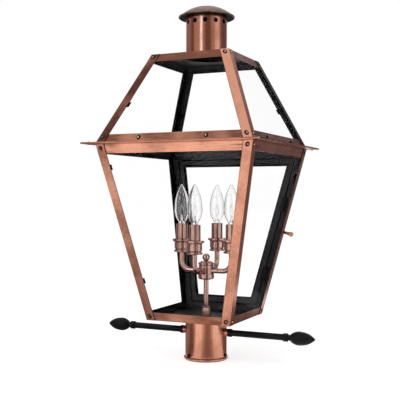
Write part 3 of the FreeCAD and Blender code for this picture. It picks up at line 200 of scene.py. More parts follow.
def make_copper_group():
    group, given, out = new_group("brushed_copper",
                                  [("Grain scale", VECTOR, (1.0, 1.0, 1.0)),
                                   ("Rubbed", COLOUR, (0.8, 0.35, 0.22, 1.0)),
                                   ("Tarnished", COLOUR, (0.3, 0.1, 0.08, 1.0)),
                                   ("Tarnish", FLOAT, 0.3), ("Dullness", FLOAT, BRUSHED_DULLNESS)],
                                  [("Colour", COLOUR), ("Roughness", FLOAT), ("Height", FLOAT)])
    place = add(group, "ShaderNodeTexCoord").outputs["Object"]
    brushed = add(group, "ShaderNodeVectorMath", {0: place, 1: given["Grain scale"]}, operation="MULTIPLY")
    grain = add(group, "ShaderNodeTexNoise", {"Vector": brushed.outputs[0], **GRAIN_NOISE}).outputs[0]
    clouds = add(group, "ShaderNodeTexNoise", {"Vector": place, **CLOUD_NOISE}).outputs[0]
    cloudy = ramp_between(group, clouds, *CLOUD_SPAN, -CLOUD_CHANGE, CLOUD_CHANGE)
    grainy = ramp_between(group, grain, *NOISE_SPAN, -GRAIN_CHANGE, GRAIN_CHANGE)
    both = math_node(group, "ADD", cloudy, grainy)
    share = math_node(group, "ADD", given["Tarnish"], both, clamp=True)
    group.links.new(mix_colour(group, share, given["Rubbed"], given["Tarnished"]), out["Colour"])
    rough = math_node(group, "MULTIPLY_ADD", share, TARNISH_ROUGHENS, given["Dullness"])
    uneven = math_node(group, "MULTIPLY", grainy, GRAIN_ROUGHENS)
    group.links.new(math_node(group, "ADD", rough, uneven), out["Roughness"])
    group.links.new(grain, out["Height"])
    return group


copper_group = make_copper_group()
print("Group:", copper_group.name)

# %% [markdown]
# ## Where the painted shade goes
# Near the corners and round the rivet heads the copper is darkened as painted shade. Two groups find
# those places. The first says where a point lies on its face of the square plan: how far from the corner,
# how far from the middle and how high. The second measures the distance from there to one rivet.

# %% Groups: place on a face and distance to a rivet
def make_face_group():
    group, _, out = new_group("place_on_face", [], [("From corner", FLOAT), ("From middle", FLOAT),
                                                    ("Height", FLOAT)])
    place = add(group, "ShaderNodeTexCoord").outputs["Object"]
    apart = add(group, "ShaderNodeSeparateXYZ", {0: place})
    across = math_node(group, "ABSOLUTE", apart.outputs[0])
    along = math_node(group, "ABSOLUTE", apart.outputs[1])
    larger = math_node(group, "MAXIMUM", across, along)
    smaller = math_node(group, "MINIMUM", across, along)
    group.links.new(math_node(group, "SUBTRACT", larger, smaller), out["From corner"])
    group.links.new(smaller, out["From middle"])
    group.links.new(apart.outputs[2], out["Height"])
    return group


def make_spot_group():
    group, given, out = new_group("distance_to_spot",
                                  [("Across", FLOAT, 0.0), ("Height", FLOAT, 0.0),
                                   ("Spot across", FLOAT, 0.0), ("Spot height", FLOAT, 0.0)],
                                  [("Distance", FLOAT)])
    here = add(group, "ShaderNodeCombineXYZ", {0: given["Across"], 1: given["Height"]})
    spot = add(group, "ShaderNodeCombineXYZ", {0: given["Spot across"], 1: given["Spot height"]})
    between = add(group, "ShaderNodeVectorMath", {0: here.outputs[0], 1: spot.outputs[0]},
                  operation="DISTANCE")
    group.links.new(between.outputs["Value"], out["Distance"])
    return group


face_group = make_face_group()
spot_group = make_spot_group()
print("Groups:", face_group.name, "and", spot_group.name)

# %% [markdown]
# ## Painted shade and patina in the crevices
# Ambient occlusion asks how much of the open air a point sees within a few millimetres. Where it sees
# little, in a groove, under a bead or along the edge of a strap, the metal is painted almost black: partly
# patina, partly painted shade.

# %% Group: crevices
SHEET_CREVICE = 0.004
AIR_SAMPLES = 8
CREVICE_SPAN = (0.12, 0.6)


def make_crevice_shade_group():
    group, given, out = new_group("crevices", [("Reach", FLOAT, SHEET_CREVICE)], [("Depth", FLOAT)])
    # the less open air a point sees, the more painted shade and patina it gets
    open_air = add(group, "ShaderNodeAmbientOcclusion", {"Distance": given["Reach"]}, samples=AIR_SAMPLES)
    closed = math_node(group, "SUBTRACT", 1.0, open_air.outputs["AO"])
    group.links.new(ramp_between(group, closed, *CREVICE_SPAN), out["Depth"])
    return group


crevice_shade_group = make_crevice_shade_group()
print("Group:", crevice_shade_group.name)

# %% [markdown]
# ## Cut edges
# A pane and the door both lie flat in a face of the square plan, so only their cut edges look sideways or
# straight up and down. This group finds those edges, which are black on both; on a pane that black is
# painted shade.

# %% Group: cut edges
LOOKS_SIDEWAYS = 0.6
LOOKS_UPRIGHT = 0.7


def make_cut_edge_group():
    group, _, out = new_group("cut_edge", [], [("Edge", FLOAT)])
    source = add(group, "ShaderNodeTexCoord")
    place = add(group, "ShaderNodeSeparateXYZ", {0: source.outputs["Object"]})
    normal = add(group, "ShaderNodeSeparateXYZ", {0: source.outputs["Normal"]})
    side_x = math_node(group, "ABSOLUTE", normal.outputs[0])
    side_y = math_node(group, "ABSOLUTE", normal.outputs[1])
    upright = math_node(group, "ABSOLUTE", normal.outputs[2])
    on_side_face = math_node(group, "GREATER_THAN", math_node(group, "ABSOLUTE", place.outputs[0]),
                             math_node(group, "ABSOLUTE", place.outputs[1]))
    sideways = mix_value(group, on_side_face, side_x, side_y)
    side_edge = math_node(group, "GREATER_THAN", sideways, LOOKS_SIDEWAYS)
    level_edge = math_node(group, "GREATER_THAN", upright, LOOKS_UPRIGHT)
    group.links.new(math_node(group, "MAXIMUM", side_edge, level_edge), out["Edge"])
    return group


cut_edge_group = make_cut_edge_group()
print("Group:", cut_edge_group.name)

# %% [markdown]
# ## The sheet metal
# One recipe makes every folded sheet: copper outside, satin black lacquer inside and on the cut edges.
# Legs and hips were brushed along their length, bands and rims along theirs, so only the grain's scale,
# the amount of patina, which on a few pieces is painted shade, and the dullness change from piece to
# piece.
# Round the rivets and along the edge of a strap the metal is darkened as painted shade, in the crevices as
# painted shade and patina, and near the corners painted shade lies in streaks.

# %% Grains and colours of the sheet metal
UPRIGHT_GRAIN = (900.0, 900.0, 26.0)
LEVEL_GRAIN = (26.0, 26.0, 900.0)
EVEN_GRAIN = (260.0, 260.0, 260.0)
LACQUER_BLACK = (0.009, 0.0096, 0.011, 1.0)
INNER_GLOSS = 0.28
RUBBED_COPPER = (0.78, 0.355, 0.234, 1.0)
TARNISHED_COPPER = (0.24, 0.094, 0.057, 1.0)
# the darker tone of the front-left hip's painted shade
HIP_SHADE_COPPER = (0.125, 0.046, 0.030, 1.0)
# the dark colour of painted shade, and of patina in the crevices
SHADE_AND_PATINA_COPPER = (0.045, 0.024, 0.019, 1.0)
CAP_TARNISHED = (0.165, 0.115, 0.103, 1.0)
CAP_INSIDE = (0.085, 0.066, 0.064, 1.0)
INNER_ROUGHNESS = 0.5
print("Rubbed copper is", RUBBED_COPPER[:3], "and tarnished copper", TARNISHED_COPPER[:3])

# %% Places on the sheet metal
FOOT_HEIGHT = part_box("base_pan")[0].z
WAIST_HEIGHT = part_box("roof_skirt")[0].z
CROWN_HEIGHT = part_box("roof_top_pan")[1].z
RIVET_RADIUS = 0.003
RIVET_FROM_CORNER = 0.0085
LEG_RIVETS = (FOOT_HEIGHT + 0.0077, WAIST_HEIGHT - 0.0087)
HIP_RIVETS = (WAIST_HEIGHT + 0.0108, CROWN_HEIGHT - 0.006)
# painted shade: a dark ring round each rivet and screw on the sheet
RIVET_SHADE_RING = (1.7 * RIVET_RADIUS, 1.15 * RIVET_RADIUS)
SCREW_FROM_MIDDLE = 0.066
SCREW_HEIGHT = WAIST_HEIGHT + 0.0093
STRAP_WIDTH = 0.0173
STRAP_EDGE = (STRAP_WIDTH - 0.0014, STRAP_WIDTH - 0.0003)
# painted shade along the edge of a strap
STRAP_EDGE_SHADE = 0.8
# painted shade in streaks near the corners
CORNER_SHADE_REACH = 0.055
CORNER_SHADE_GRAIN = (14.0, 14.0, 260.0)
STREAK_SPAN = (0.42, 0.62)
print("Corner rivets are at heights", [round(height, 4) for height in LEG_RIVETS + HIP_RIVETS])

# %% The sheet metal recipe
BUMP_DEPTH = 0.00002


def new_material(name):
    material = bpy.data.materials.new(name)
    material.use_nodes = True
    tree = material.node_tree
    return material, tree, tree.nodes["Principled BSDF"]


def finish_with(tree, shader, colour=None, roughness=None, metallic=None, height=None, depth=BUMP_DEPTH):
    """Feeds the shader's own sockets, and bumps it by height."""
    for socket, value in (("Base Color", colour), ("Roughness", roughness), ("Metallic", metallic)):
        if isinstance(value, bpy.types.NodeSocket):
            tree.links.new(value, shader.inputs[socket])
        elif value is not None:
            shader.inputs[socket].default_value = value
    if height is not None:
        bump = add(tree, "ShaderNodeBump", {"Height": height, "Distance": depth, "Strength": 1.0})
        tree.links.new(bump.outputs[0], shader.inputs["Normal"])


def rivet_distance(tree, face, heights):
    """How far the nearest corner rivet's middle is."""
    nearest = None
    for height in heights:
        spot = use_group(tree, spot_group, across=face["From corner"], height=face["Height"],
                         spot_across=RIVET_FROM_CORNER, spot_height=height)["Distance"]
        nearest = spot if nearest is None else math_node(tree, "MINIMUM", nearest, spot)
    return nearest


def screw_distance(tree, face):
    """How far the middle of the nearest roof skirt screw is."""
    return use_group(tree, spot_group, across=face["From middle"], height=face["Height"],
                     spot_across=SCREW_FROM_MIDDLE, spot_height=SCREW_HEIGHT)["Distance"]


def sheet_metal(name, grain, tarnish, corner_shade=0.0, rivets=LEG_RIVETS, strap=False, screws=False,
                top_faces=0.0, bottom_faces=0.0, tarnished=TARNISHED_COPPER, dullness=BRUSHED_DULLNESS,
                cut_edges=False, inside=LACQUER_BLACK):
    """Brushed copper outside; inside and on the cut edges it has the colour that inside gives."""
    material, tree, shader = new_material(name)
    face = use_group(tree, face_group)
    # painted shade in streaks near the corners, added to the tarnish
    near_corner = ramp_between(tree, face["From corner"], CORNER_SHADE_REACH, STRAP_WIDTH, 0.0, corner_shade)
    place = add(tree, "ShaderNodeTexCoord").outputs["Object"]
    stretched = add(tree, "ShaderNodeVectorMath", {0: place, 1: CORNER_SHADE_GRAIN}, operation="MULTIPLY")
    streaks = add(tree, "ShaderNodeTexNoise", {"Vector": stretched.outputs[0], "Scale": 1.0}).outputs[0]
    corner_shade_streaks = math_node(tree, "MULTIPLY", near_corner, ramp_between(tree, streaks, *STREAK_SPAN))
    tarnish_and_corner_shade = math_node(tree, "ADD", corner_shade_streaks, tarnish)
    copper = use_group(tree, copper_group, grain_scale=grain, rubbed=RUBBED_COPPER,
                       tarnished=tarnished, tarnish=tarnish_and_corner_shade, dullness=dullness)
    fastener = rivet_distance(tree, face, rivets)
    if screws:
        fastener = math_node(tree, "MINIMUM", fastener, screw_distance(tree, face))
    # painted shade round rivets and screws, and painted shade with patina in the crevices
    ring = ramp_between(tree, fastener, *RIVET_SHADE_RING)
    dark = math_node(tree, "MAXIMUM", ring, use_group(tree, crevice_shade_group, reach=SHEET_CREVICE)["Depth"])
    if strap:
        # painted shade along the strap's edge
        edge = ramp_between(tree, face["From corner"], *STRAP_EDGE, 0.0, STRAP_EDGE_SHADE)
        dark = math_node(tree, "MAXIMUM", dark, edge)
    shaded_copper_colour = mix_colour(tree, dark, copper["Colour"], SHADE_AND_PATINA_COPPER)
    outside = use_group(tree, outside_group, top_faces=top_faces, bottom_faces=bottom_faces)["Outside"]
    if cut_edges:
        outside = math_node(tree, "SUBTRACT", outside, use_group(tree, cut_edge_group)["Edge"], clamp=True)
    finish_with(tree, shader, colour=mix_colour(tree, outside, inside, shaded_copper_colour),
                roughness=mix_value(tree, outside, INNER_ROUGHNESS, copper["Roughness"]),
                metallic=outside, height=copper["Height"])
    shader.inputs["Specular IOR Level"].default_value = INNER_GLOSS
    return material


leg_sheet = sheet_metal("copper_leg", UPRIGHT_GRAIN, tarnish=0.4, strap=True)
print("The recipe's first finish is", leg_sheet.name)

# %% The other sheet metal finishes
# the front-left leg, the front-left hip and the back-right hip get darker copies of the leg and hip
# finish: painted shade
shaded_leg_sheet = sheet_metal("copper_leg_shaded", UPRIGHT_GRAIN, tarnish=0.66, strap=True)
hip_sheet = sheet_metal("copper_hip", UPRIGHT_GRAIN, tarnish=0.0, rivets=HIP_RIVETS, strap=True)
shaded_hip_sheet = sheet_metal("copper_hip_shaded", UPRIGHT_GRAIN, tarnish=0.95, rivets=HIP_RIVETS,
                             strap=True, tarnished=HIP_SHADE_COPPER)
dark_shaded_hip_sheet = sheet_metal("copper_hip_dark_shaded", UPRIGHT_GRAIN, tarnish=1.0, rivets=HIP_RIVETS,
                              strap=True, tarnished=SHADE_AND_PATINA_COPPER)
waist_sheet = sheet_metal("copper_waist", LEVEL_GRAIN, tarnish=0.3, corner_shade=0.65,
                          top_faces=1.0, bottom_faces=1.0)
skirt_sheet = sheet_metal("copper_skirt", LEVEL_GRAIN, tarnish=0.72, corner_shade=0.8, rivets=HIP_RIVETS,
                          screws=True, top_faces=1.0, bottom_faces=1.0)
floor_sheet = sheet_metal("copper_floor", LEVEL_GRAIN, tarnish=0.82, corner_shade=0.3, bottom_faces=1.0)
crown_sheet = sheet_metal("copper_crown", LEVEL_GRAIN, tarnish=1.0, corner_shade=0.5, rivets=HIP_RIVETS,
                          top_faces=1.0)
door_sheet = sheet_metal("copper_door", UPRIGHT_GRAIN, tarnish=0.3, cut_edges=True)
hinge_sheet = sheet_metal("copper_hinge", UPRIGHT_GRAIN, tarnish=0.5)
chimney_sheet = sheet_metal("copper_chimney", UPRIGHT_GRAIN, tarnish=0.16, dullness=0.2)
collar_sheet = sheet_metal("copper_collar", UPRIGHT_GRAIN, tarnish=0.16, dullness=0.25)
cap_sheet = sheet_metal("copper_cap", EVEN_GRAIN, tarnish=0.95, top_faces=1.0, tarnished=CAP_TARNISHED,
                        inside=CAP_INSIDE)
print("Sheet metal in fourteen finishes")

# %% [markdown]
# ## Solid copper fittings
# Cups, arms, hub, bosses and rivets are copper right through, so they take the same brushed copper with
# no black side. The cluster is a little greyer and browner than the sheet. A rivet or screw head has a
# painted highlight on top and painted shade round its rim.

# %% Fitting materials
FITTING_CREVICE = 0.003
RIVET_SHADE_RIM = (0.35 * RIVET_RADIUS, 0.7 * RIVET_RADIUS)


def copper_fitting(name, grain, tarnish, rubbed=RUBBED_COPPER, tarnished=TARNISHED_COPPER, fasteners=None,
                   dullness=BRUSHED_DULLNESS):
    """Copper all through. fasteners gives the rivets' heights, or is empty for the skirt's screws; their
    heads get painted shade round the rim.
    """
    material, tree, shader = new_material(name)
    copper = use_group(tree, copper_group, grain_scale=grain, rubbed=rubbed, tarnished=tarnished,
                       tarnish=tarnish, dullness=dullness)
    dark = use_group(tree, crevice_shade_group, reach=FITTING_CREVICE)["Depth"]
    if fasteners is not None:
        face = use_group(tree, face_group)
        distance = rivet_distance(tree, face, fasteners) if fasteners else screw_distance(tree, face)
        # painted shade round the rim of a rivet or screw head
        rim = ramp_between(tree, distance, *RIVET_SHADE_RIM)
        dark = math_node(tree, "MAXIMUM", dark, rim)
    finish_with(tree, shader, colour=mix_colour(tree, dark, copper["Colour"], SHADE_AND_PATINA_COPPER),
                roughness=copper["Roughness"], metallic=1.0, height=copper["Height"])
    return material


CLUSTER_RUBBED = (0.62, 0.375, 0.31, 1.0)
CLUSTER_TARNISHED = (0.19, 0.095, 0.08, 1.0)
# a pale copper that paints a highlight on top of each rivet and screw head
RIVET_HIGHLIGHT_COPPER = (0.93, 0.64, 0.47, 1.0)
cluster_copper = copper_fitting("copper_cluster", UPRIGHT_GRAIN, tarnish=0.22, rubbed=CLUSTER_RUBBED,
                                tarnished=CLUSTER_TARNISHED)
coupling_copper = copper_fitting("copper_coupling", EVEN_GRAIN, tarnish=0.1, rubbed=CLUSTER_RUBBED,
                                 tarnished=CLUSTER_TARNISHED, dullness=0.55)
small_copper = copper_fitting("copper_small", EVEN_GRAIN, tarnish=0.3)
# a darker copy of the small copper for the latch lever: painted shade
shaded_small_copper = copper_fitting("copper_small_shaded", EVEN_GRAIN, tarnish=0.8)
highlighted_rivet_copper = copper_fitting("copper_rivet_painted_highlight", EVEN_GRAIN, tarnish=0.0, rubbed=RIVET_HIGHLIGHT_COPPER,
                              fasteners=LEG_RIVETS + HIP_RIVETS)
highlighted_screw_copper = copper_fitting("copper_screw_painted_highlight", EVEN_GRAIN, tarnish=0.0, rubbed=RIVET_HIGHLIGHT_COPPER, fasteners=())
print("Solid copper in six finishes")

# %% [markdown]
# ## Lacquer, steel, aluminium and plastic
# The ladder rods are lacquered black, the bulbs' screw caps are aluminium and the sockets are moulded
# plastic. None of them has a pattern that shows from a step away, yet one flat colour looks like no real
# thing. So one recipe gives each a fine mottle as bump and a broad one in its colour and roughness.

# %% Plain finishes
FINE_MOTTLE = {"Scale": 600.0, "Detail": 3.0}
BROAD_MOTTLE = {"Scale": 30.0, "Detail": 3.0}
MOTTLE_CHANGE = 0.08
MOTTLE_SHADE = 0.76


def plain_finish(name, colour, roughness, metallic=0.0, gloss=0.5):
    """One colour with a fine and a broad mottle."""
    material, tree, shader = new_material(name)
    place = add(tree, "ShaderNodeTexCoord").outputs["Object"]
    fine = add(tree, "ShaderNodeTexNoise", {"Vector": place, **FINE_MOTTLE}).outputs[0]
    broad = add(tree, "ShaderNodeTexNoise", {"Vector": place, **BROAD_MOTTLE}).outputs[0]
    darker = tuple(channel * MOTTLE_SHADE for channel in colour[:3]) + (1.0,)
    rough = ramp_between(tree, broad, *NOISE_SPAN, roughness - MOTTLE_CHANGE, roughness + MOTTLE_CHANGE)
    finish_with(tree, shader, colour=mix_colour(tree, broad, colour, darker), roughness=rough,
                metallic=metallic, height=fine)
    shader.inputs["Specular IOR Level"].default_value = gloss
    return material


STEEL = (0.55, 0.54, 0.52, 1.0)
ALUMINIUM = (0.75, 0.74, 0.72, 1.0)
DARK_PLASTIC = (0.03, 0.028, 0.026, 1.0)
FILAMENT_WHITE = (0.85, 0.85, 0.85, 1.0)
black_lacquer = plain_finish("black_lacquer", LACQUER_BLACK, roughness=0.34, gloss=0.14)
inner_black = plain_finish("inner_black", LACQUER_BLACK, roughness=0.6, gloss=0.03)
bright_steel = plain_finish("bright_steel", STEEL, roughness=0.3, metallic=1.0)
bright_aluminium = plain_finish("bright_aluminium", ALUMINIUM, roughness=0.28, metallic=1.0)
socket_plastic = plain_finish("socket_plastic", DARK_PLASTIC, roughness=0.5)
bright_filament = plain_finish("bright_filament", FILAMENT_WHITE, roughness=0.4)
print("Lacquer, steel, aluminium and plastic are mixed")

# %% [markdown]
# ## Clear glass
# The panes and the bulbs are clear, so their shader only bends and mirrors the light a little. A shader's
# bend also sets how much it mirrors, so the panes get almost none, and the white behind them stays white.
# The bulbs keep a trace of haze. A cut pane edge would pipe light like a lamp, so it is painted black as
# painted shade.

# %% Glass materials
GLASS_WAVES = {"Scale": 9.0, "Detail": 1.0}
WAVE_DEPTH = 0.0003
WAVE_ROUGHNESS = 0.01
WATER_WHITE = (1.0, 1.0, 1.0, 1.0)


def clear_glass(name, tint, bend, clearness=1.0, cut_edges=False):
    """Glass keeps plain Metallic and Transmission Weight; its faint unevenness is textured, and cut edges
    are painted black as painted shade.
    """
    material, tree, shader = new_material(name)
    place = add(tree, "ShaderNodeTexCoord").outputs["Object"]
    waves = add(tree, "ShaderNodeTexNoise", {"Vector": place, **GLASS_WAVES}).outputs[0]
    if cut_edges:
        # cut edges painted black: painted shade
        tint = mix_colour(tree, use_group(tree, cut_edge_group)["Edge"], tint, LACQUER_BLACK)
    finish_with(tree, shader, colour=tint, height=waves, depth=WAVE_DEPTH,
                roughness=ramp_between(tree, waves, *NOISE_SPAN, 0.0, WAVE_ROUGHNESS))
    shader.inputs["Transmission Weight"].default_value = clearness
    shader.inputs["IOR"].default_value = bend
    return material


pane_glass = clear_glass("pane_glass", WATER_WHITE, bend=1.03, cut_edges=True)
bulb_glass = clear_glass("bulb_glass", WATER_WHITE, bend=1.42, clearness=0.97)
print("Glass:", pane_glass.name, "and", bulb_glass.name)

# %% [markdown]
# ## Dressing the frame
# Every piece of the frame gets its finish by name. The names say what the pieces are, so a small table
# from the start of a name to a material is enough.

# %% Hand out the materials
FINISHES = {
    "corner_leg": leg_sheet, "corner_leg_front_left": shaded_leg_sheet,
    "roof_hip": hip_sheet, "roof_hip_front_left": shaded_hip_sheet, "roof_hip_back_right": dark_shaded_hip_sheet,
    "waist_band": waist_sheet, "roof_skirt": skirt_sheet, "base_pan": floor_sheet,
    "roof_top_pan": crown_sheet, "chimney": chimney_sheet, "post_collar": collar_sheet,
    "cap_dome": cap_sheet, "cap_baffle": inner_black, "door_frame": door_sheet,
    "door_stops": inner_black, "glass_clips": inner_black, "sheet_rivets": highlighted_rivet_copper,
    "skirt_screws": highlighted_screw_copper, "set_screw": black_lacquer, "ladder_boss": small_copper,
    "ladder_rod": black_lacquer, "ladder_finial": black_lacquer,
    "hinge_pins": small_copper, "hinge": hinge_sheet, "latch_lever": shaded_small_copper,
    "latch_pivot": black_lacquer, "candle_sockets": socket_plastic, "candle_": cluster_copper,
    "stem_coupling": coupling_copper, "hub_": cluster_copper, "ball_finial": cluster_copper,
    "bulb_cap": bright_aluminium, "bulb_glass": bulb_glass, "roof_glass": pane_glass,
    "body_glass": pane_glass, "door_glass": pane_glass,
}


def finish_for(name):
    """The finish under the longest start that fits the name."""
    matches = [start for start in FINISHES if name.startswith(start)]
    return FINISHES[max(matches, key=len)]


for name, piece in nodes.items():
    piece.data.materials.clear()
    piece.data.materials.append(finish_for(name))
print("Dressed", len(nodes), "pieces")

# %% [markdown]
# ## Inside a candle bulb
# A clear bulb shows its works: a glass stem rises from the neck, two wires stand in it, and a zigzag
# filament rises to a point between them. The stem is turned like a vase, by spinning half its outline
# round the bulb's axis. Wires are short round bars laid end to end.

# %% Bulb works
BULBS = ("bulb_1", "bulb_2", "bulb_3", "bulb_4")
STEM_OUTLINE = ((0.0, 0.001), (0.0046, 0.001), (0.0042, 0.004), (0.0024, 0.008), (0.0017, 0.012),
                (0.0021, 0.015), (0.0016, 0.0165), (0.0, 0.017))
STEM_STEPS = 24
SAME_PLACE = 1e-6
WIRE_SIDES = 8
LEAD_RADIUS = 0.0003
FILAMENT_RADIUS = 0.00036
LEAD_FOOT, LEAD_BEND, LEAD_TIP = (0.0011, 0.0145), (0.0028, 0.0190), (0.0042, 0.0245)
FILAMENT_TURNS = 9
FILAMENT_RISE = 0.013
FILAMENT_SWING = 0.0007


def new_piece(name, shape, material, body):
    """Turns a bmesh into an object that rides on a body."""
    bmesh.ops.recalc_face_normals(shape, faces=shape.faces)
    mesh = bpy.data.meshes.new(name)
    shape.to_mesh(mesh)
    shape.free()
    mesh.materials.append(material)
    piece = bpy.data.objects.new(name, mesh)
    bpy.context.scene.collection.objects.link(piece)
    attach(piece, body)
    return piece


def turn_outline(shape, outline):
    """Spins (radius, height) points into a closed round solid about the Z axis."""
    verts = [shape.verts.new((radius, 0.0, height)) for radius, height in outline]
    edges = [shape.edges.new(pair) for pair in zip(verts, verts[1:])]
    bmesh.ops.spin(shape, geom=verts + edges, axis=(0.0, 0.0, 1.0), cent=(0.0, 0.0, 0.0),
                   angle=math.tau, steps=STEM_STEPS, use_merge=True)
    bmesh.ops.remove_doubles(shape, verts=shape.verts, dist=SAME_PLACE)


def lay_wire(shape, points, radius):
    """Lays a round bar from each point to the next."""
    for first, last in zip(points, points[1:]):
        first, last = Vector(first), Vector(last)
        along = last - first
        place = Matrix.Translation((first + last) / 2) @ along.to_track_quat("Z", "Y").to_matrix().to_4x4()
        bmesh.ops.create_cone(shape, cap_ends=True, segments=WIRE_SIDES, radius1=radius, radius2=radius,
                              depth=along.length + radius, matrix=place)


def filament_points():
    """A small zigzag from one lead's tip to the other, held up to a point in the middle."""
    spread, height = LEAD_TIP
    points = []
    for number in range(2 * FILAMENT_TURNS + 1):
        share = number / (2 * FILAMENT_TURNS)
        side = FILAMENT_SWING if number % 2 else -FILAMENT_SWING
        rise = FILAMENT_RISE * (1 - abs(2 * share - 1))
        points.append((spread * (2 * share - 1), side, height + rise))
    return points


for body in BULBS:
    low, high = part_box(body.replace("bulb", "bulb_glass"))
    foot = Vector(((low.x + high.x) / 2, (low.y + high.y) / 2, low.z))
    stem = bmesh.new()
    turn_outline(stem, STEM_OUTLINE)
    leads = bmesh.new()
    for side in (-1, 1):
        corners = [(side * across, 0.0, height) for across, height in (LEAD_FOOT, LEAD_BEND, LEAD_TIP)]
        lay_wire(leads, corners, LEAD_RADIUS)
    filament = bmesh.new()
    lay_wire(filament, filament_points(), FILAMENT_RADIUS)
    for shape in (stem, leads, filament):
        bmesh.ops.translate(shape, vec=foot, verts=shape.verts)
    new_piece(body + "_stem", stem, bulb_glass, body)
    new_piece(body + "_leads", leads, bright_steel, body)
    new_piece(body + "_filament", filament, bright_filament, body)
print("Four bulbs have a stem, two leads and a filament each")

# %% [markdown]
# ## The felt round the door
# The door clears the legs and bands by less than a millimetre, and black felt shuts that slit so that no
# daylight shows; as a dark strip where the slit shows only shade it is also painted shade. Its section is
# an L: one limb fills the slit, and the other lies behind the door, which opens away from it. At each
# corner of the door the L is drawn as a loop of six edges, and the four loops are bridged one after
# another into a closed ring.

# %% Door felt
FELT_PLAY = 0.00015
FELT_LIP = 0.0012
FELT_START = 0.0005
FELT_THICKNESS = 0.001
SIDE_GAP = 0.0008


def door_face_corners(points):
    """The door frame's four outer corners on its face: foot left, foot right, head right, head left."""
    low, high = min(p.z for p in points), max(p.z for p in points)
    middle = (low + high) / 2
    foot = [p for p in points if p.z < middle]
    head = [p for p in points if p.z >= middle]
    return [max(foot, key=lambda p: p.y - p.x), max(foot, key=lambda p: p.y + p.x),
            max(head, key=lambda p: p.y + p.x), max(head, key=lambda p: p.y - p.x)]


def make_door_felt_shade_strip():
    points = [vertex.co.copy() for vertex in nodes["door_frame"].data.vertices]
    door = door_face_corners(points)
    level = (door[1] - door[0]).normalized()
    up_slope = ((door[2] + door[3]) - (door[0] + door[1])).normalized()
    inward = level.cross(up_slope)
    if inward.y > 0:
        inward = -inward
    door_back = max((point - door[0]).dot(inward) for point in points) + FELT_PLAY
    floor_level, band_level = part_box("base_pan")[1].z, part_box("waist_band")[0].z
    # for each corner: the way out sideways, the way out along the slope, and the height of its seat
    directions = ((-level, -up_slope, floor_level), (level, -up_slope, floor_level),
                  (level, up_slope, band_level), (-level, up_slope, band_level))
    # (how far beyond the door's edge, how deep); None reaches to the legs and bands
    section = ((None, FELT_START), (None, door_back + FELT_THICKNESS),
               (-FELT_LIP, door_back + FELT_THICKNESS), (-FELT_LIP, door_back),
               (FELT_PLAY, door_back), (FELT_PLAY, FELT_START))
    shape = bmesh.new()
    loops = []
    for point, (sideways, slope, seat) in zip(door, directions):
        corners = []
        for beyond, depth in section:
            start = point + inward * depth
            side_step = SIDE_GAP if beyond is None else beyond
            slope_step = abs(seat - start.z) / up_slope.z if beyond is None else beyond
            corners.append(shape.verts.new(start + sideways * side_step + slope * slope_step))
        loops.append([shape.edges.new((corners[i - 1], corners[i])) for i in range(len(corners))])
    for first, second in zip(loops, loops[1:] + loops[:1]):
        bmesh.ops.bridge_loops(shape, edges=first + second)
    return new_piece("door_felt_shade_strip", shape, inner_black, "lantern")


# a felt seal whose black is also painted shade in the slit
door_felt_shade_strip = make_door_felt_shade_strip()
print("The felt strip has", len(door_felt_shade_strip.data.polygons), "faces")

# %% [markdown]
# ## The studio
# The air around the lantern is white where it is seen, in the picture, in metal and through glass, and
# only lights the lantern at a plain level. The floor is one wide grey face that glows up to white in the
# same way, yet still takes the lantern's shadow.

# %% World
WORLD_LEVEL = 0.65


def rays_that_see(tree):
    """1 for rays from the camera, off metal and through glass."""
    light_path = add(tree, "ShaderNodeLightPath")
    seen = math_node(tree, "ADD", light_path.outputs["Is Camera Ray"], light_path.outputs["Is Glossy Ray"],
                     clamp=True)
    return math_node(tree, "ADD", seen, light_path.outputs["Is Transmission Ray"], clamp=True)


world = bpy.data.worlds.new("studio_air")
bpy.context.scene.world = world
world.use_nodes = True
sky = world.node_tree.nodes["Background"]
sky.inputs["Color"].default_value = (1.0, 1.0, 1.0, 1.0)
level = mix_value(world.node_tree, rays_that_see(world.node_tree), WORLD_LEVEL, 1.0)
world.node_tree.links.new(level, sky.inputs["Strength"])
print("The air lights the lantern at a level of", WORLD_LEVEL)

# %% Floor
FLOOR_GREY = 0.5
FLOOR_LIFT = 0.69
FLOOR_HALF = 12.0
floor_material, floor_tree, floor_shader = new_material("studio_floor")
floor_shader.inputs["Base Color"].default_value = (FLOOR_GREY, FLOOR_GREY, FLOOR_GREY, 1.0)
floor_shader.inputs["Roughness"].default_value = 0.9
floor_shader.inputs["Specular IOR Level"].default_value = 0.0
floor_shader.inputs["Emission Color"].default_value = (1.0, 1.0, 1.0, 1.0)
lift = mix_value(floor_tree, rays_that_see(floor_tree), 0.0, FLOOR_LIFT)
floor_tree.links.new(lift, floor_shader.inputs["Emission Strength"])

floor_mesh = bpy.data.meshes.new("studio_floor")
floor_shape = bmesh.new()
bmesh.ops.create_grid(floor_shape, x_segments=1, y_segments=1, size=FLOOR_HALF)
floor_shape.to_mesh(floor_mesh)
floor_shape.free()
floor_mesh.materials.append(floor_material)
floor = bpy.data.objects.new("studio_floor", floor_mesh)
bpy.context.scene.collection.objects.link(floor)
print("The floor is", 2 * FLOOR_HALF, "m wide")

# %% [markdown]
# ## Lamps and cards
# Two soft lamps stand in front, one on each side. Polished metal is drawn by what it mirrors, so curved
# cards stand round the lantern, as in a photographer's studio: dark ones give the round tubes their dark
# bands, and one bright card is their window. Only a ray that was mirrored sees them, which is why their
# alpha asks for the number of glossy bounces.

# %% Lamps
LANTERN_MIDDLE = Vector((0.0, 0.0, 0.33))
# name, place, width and height, power in watts
LAMPS = (
    ("key_lamp", (-1.0, -1.5, 1.3), (0.9, 1.6), 18.0),
    ("fill_lamp", (1.7, -0.9, 1.1), (0.6, 1.4), 8.0),
)


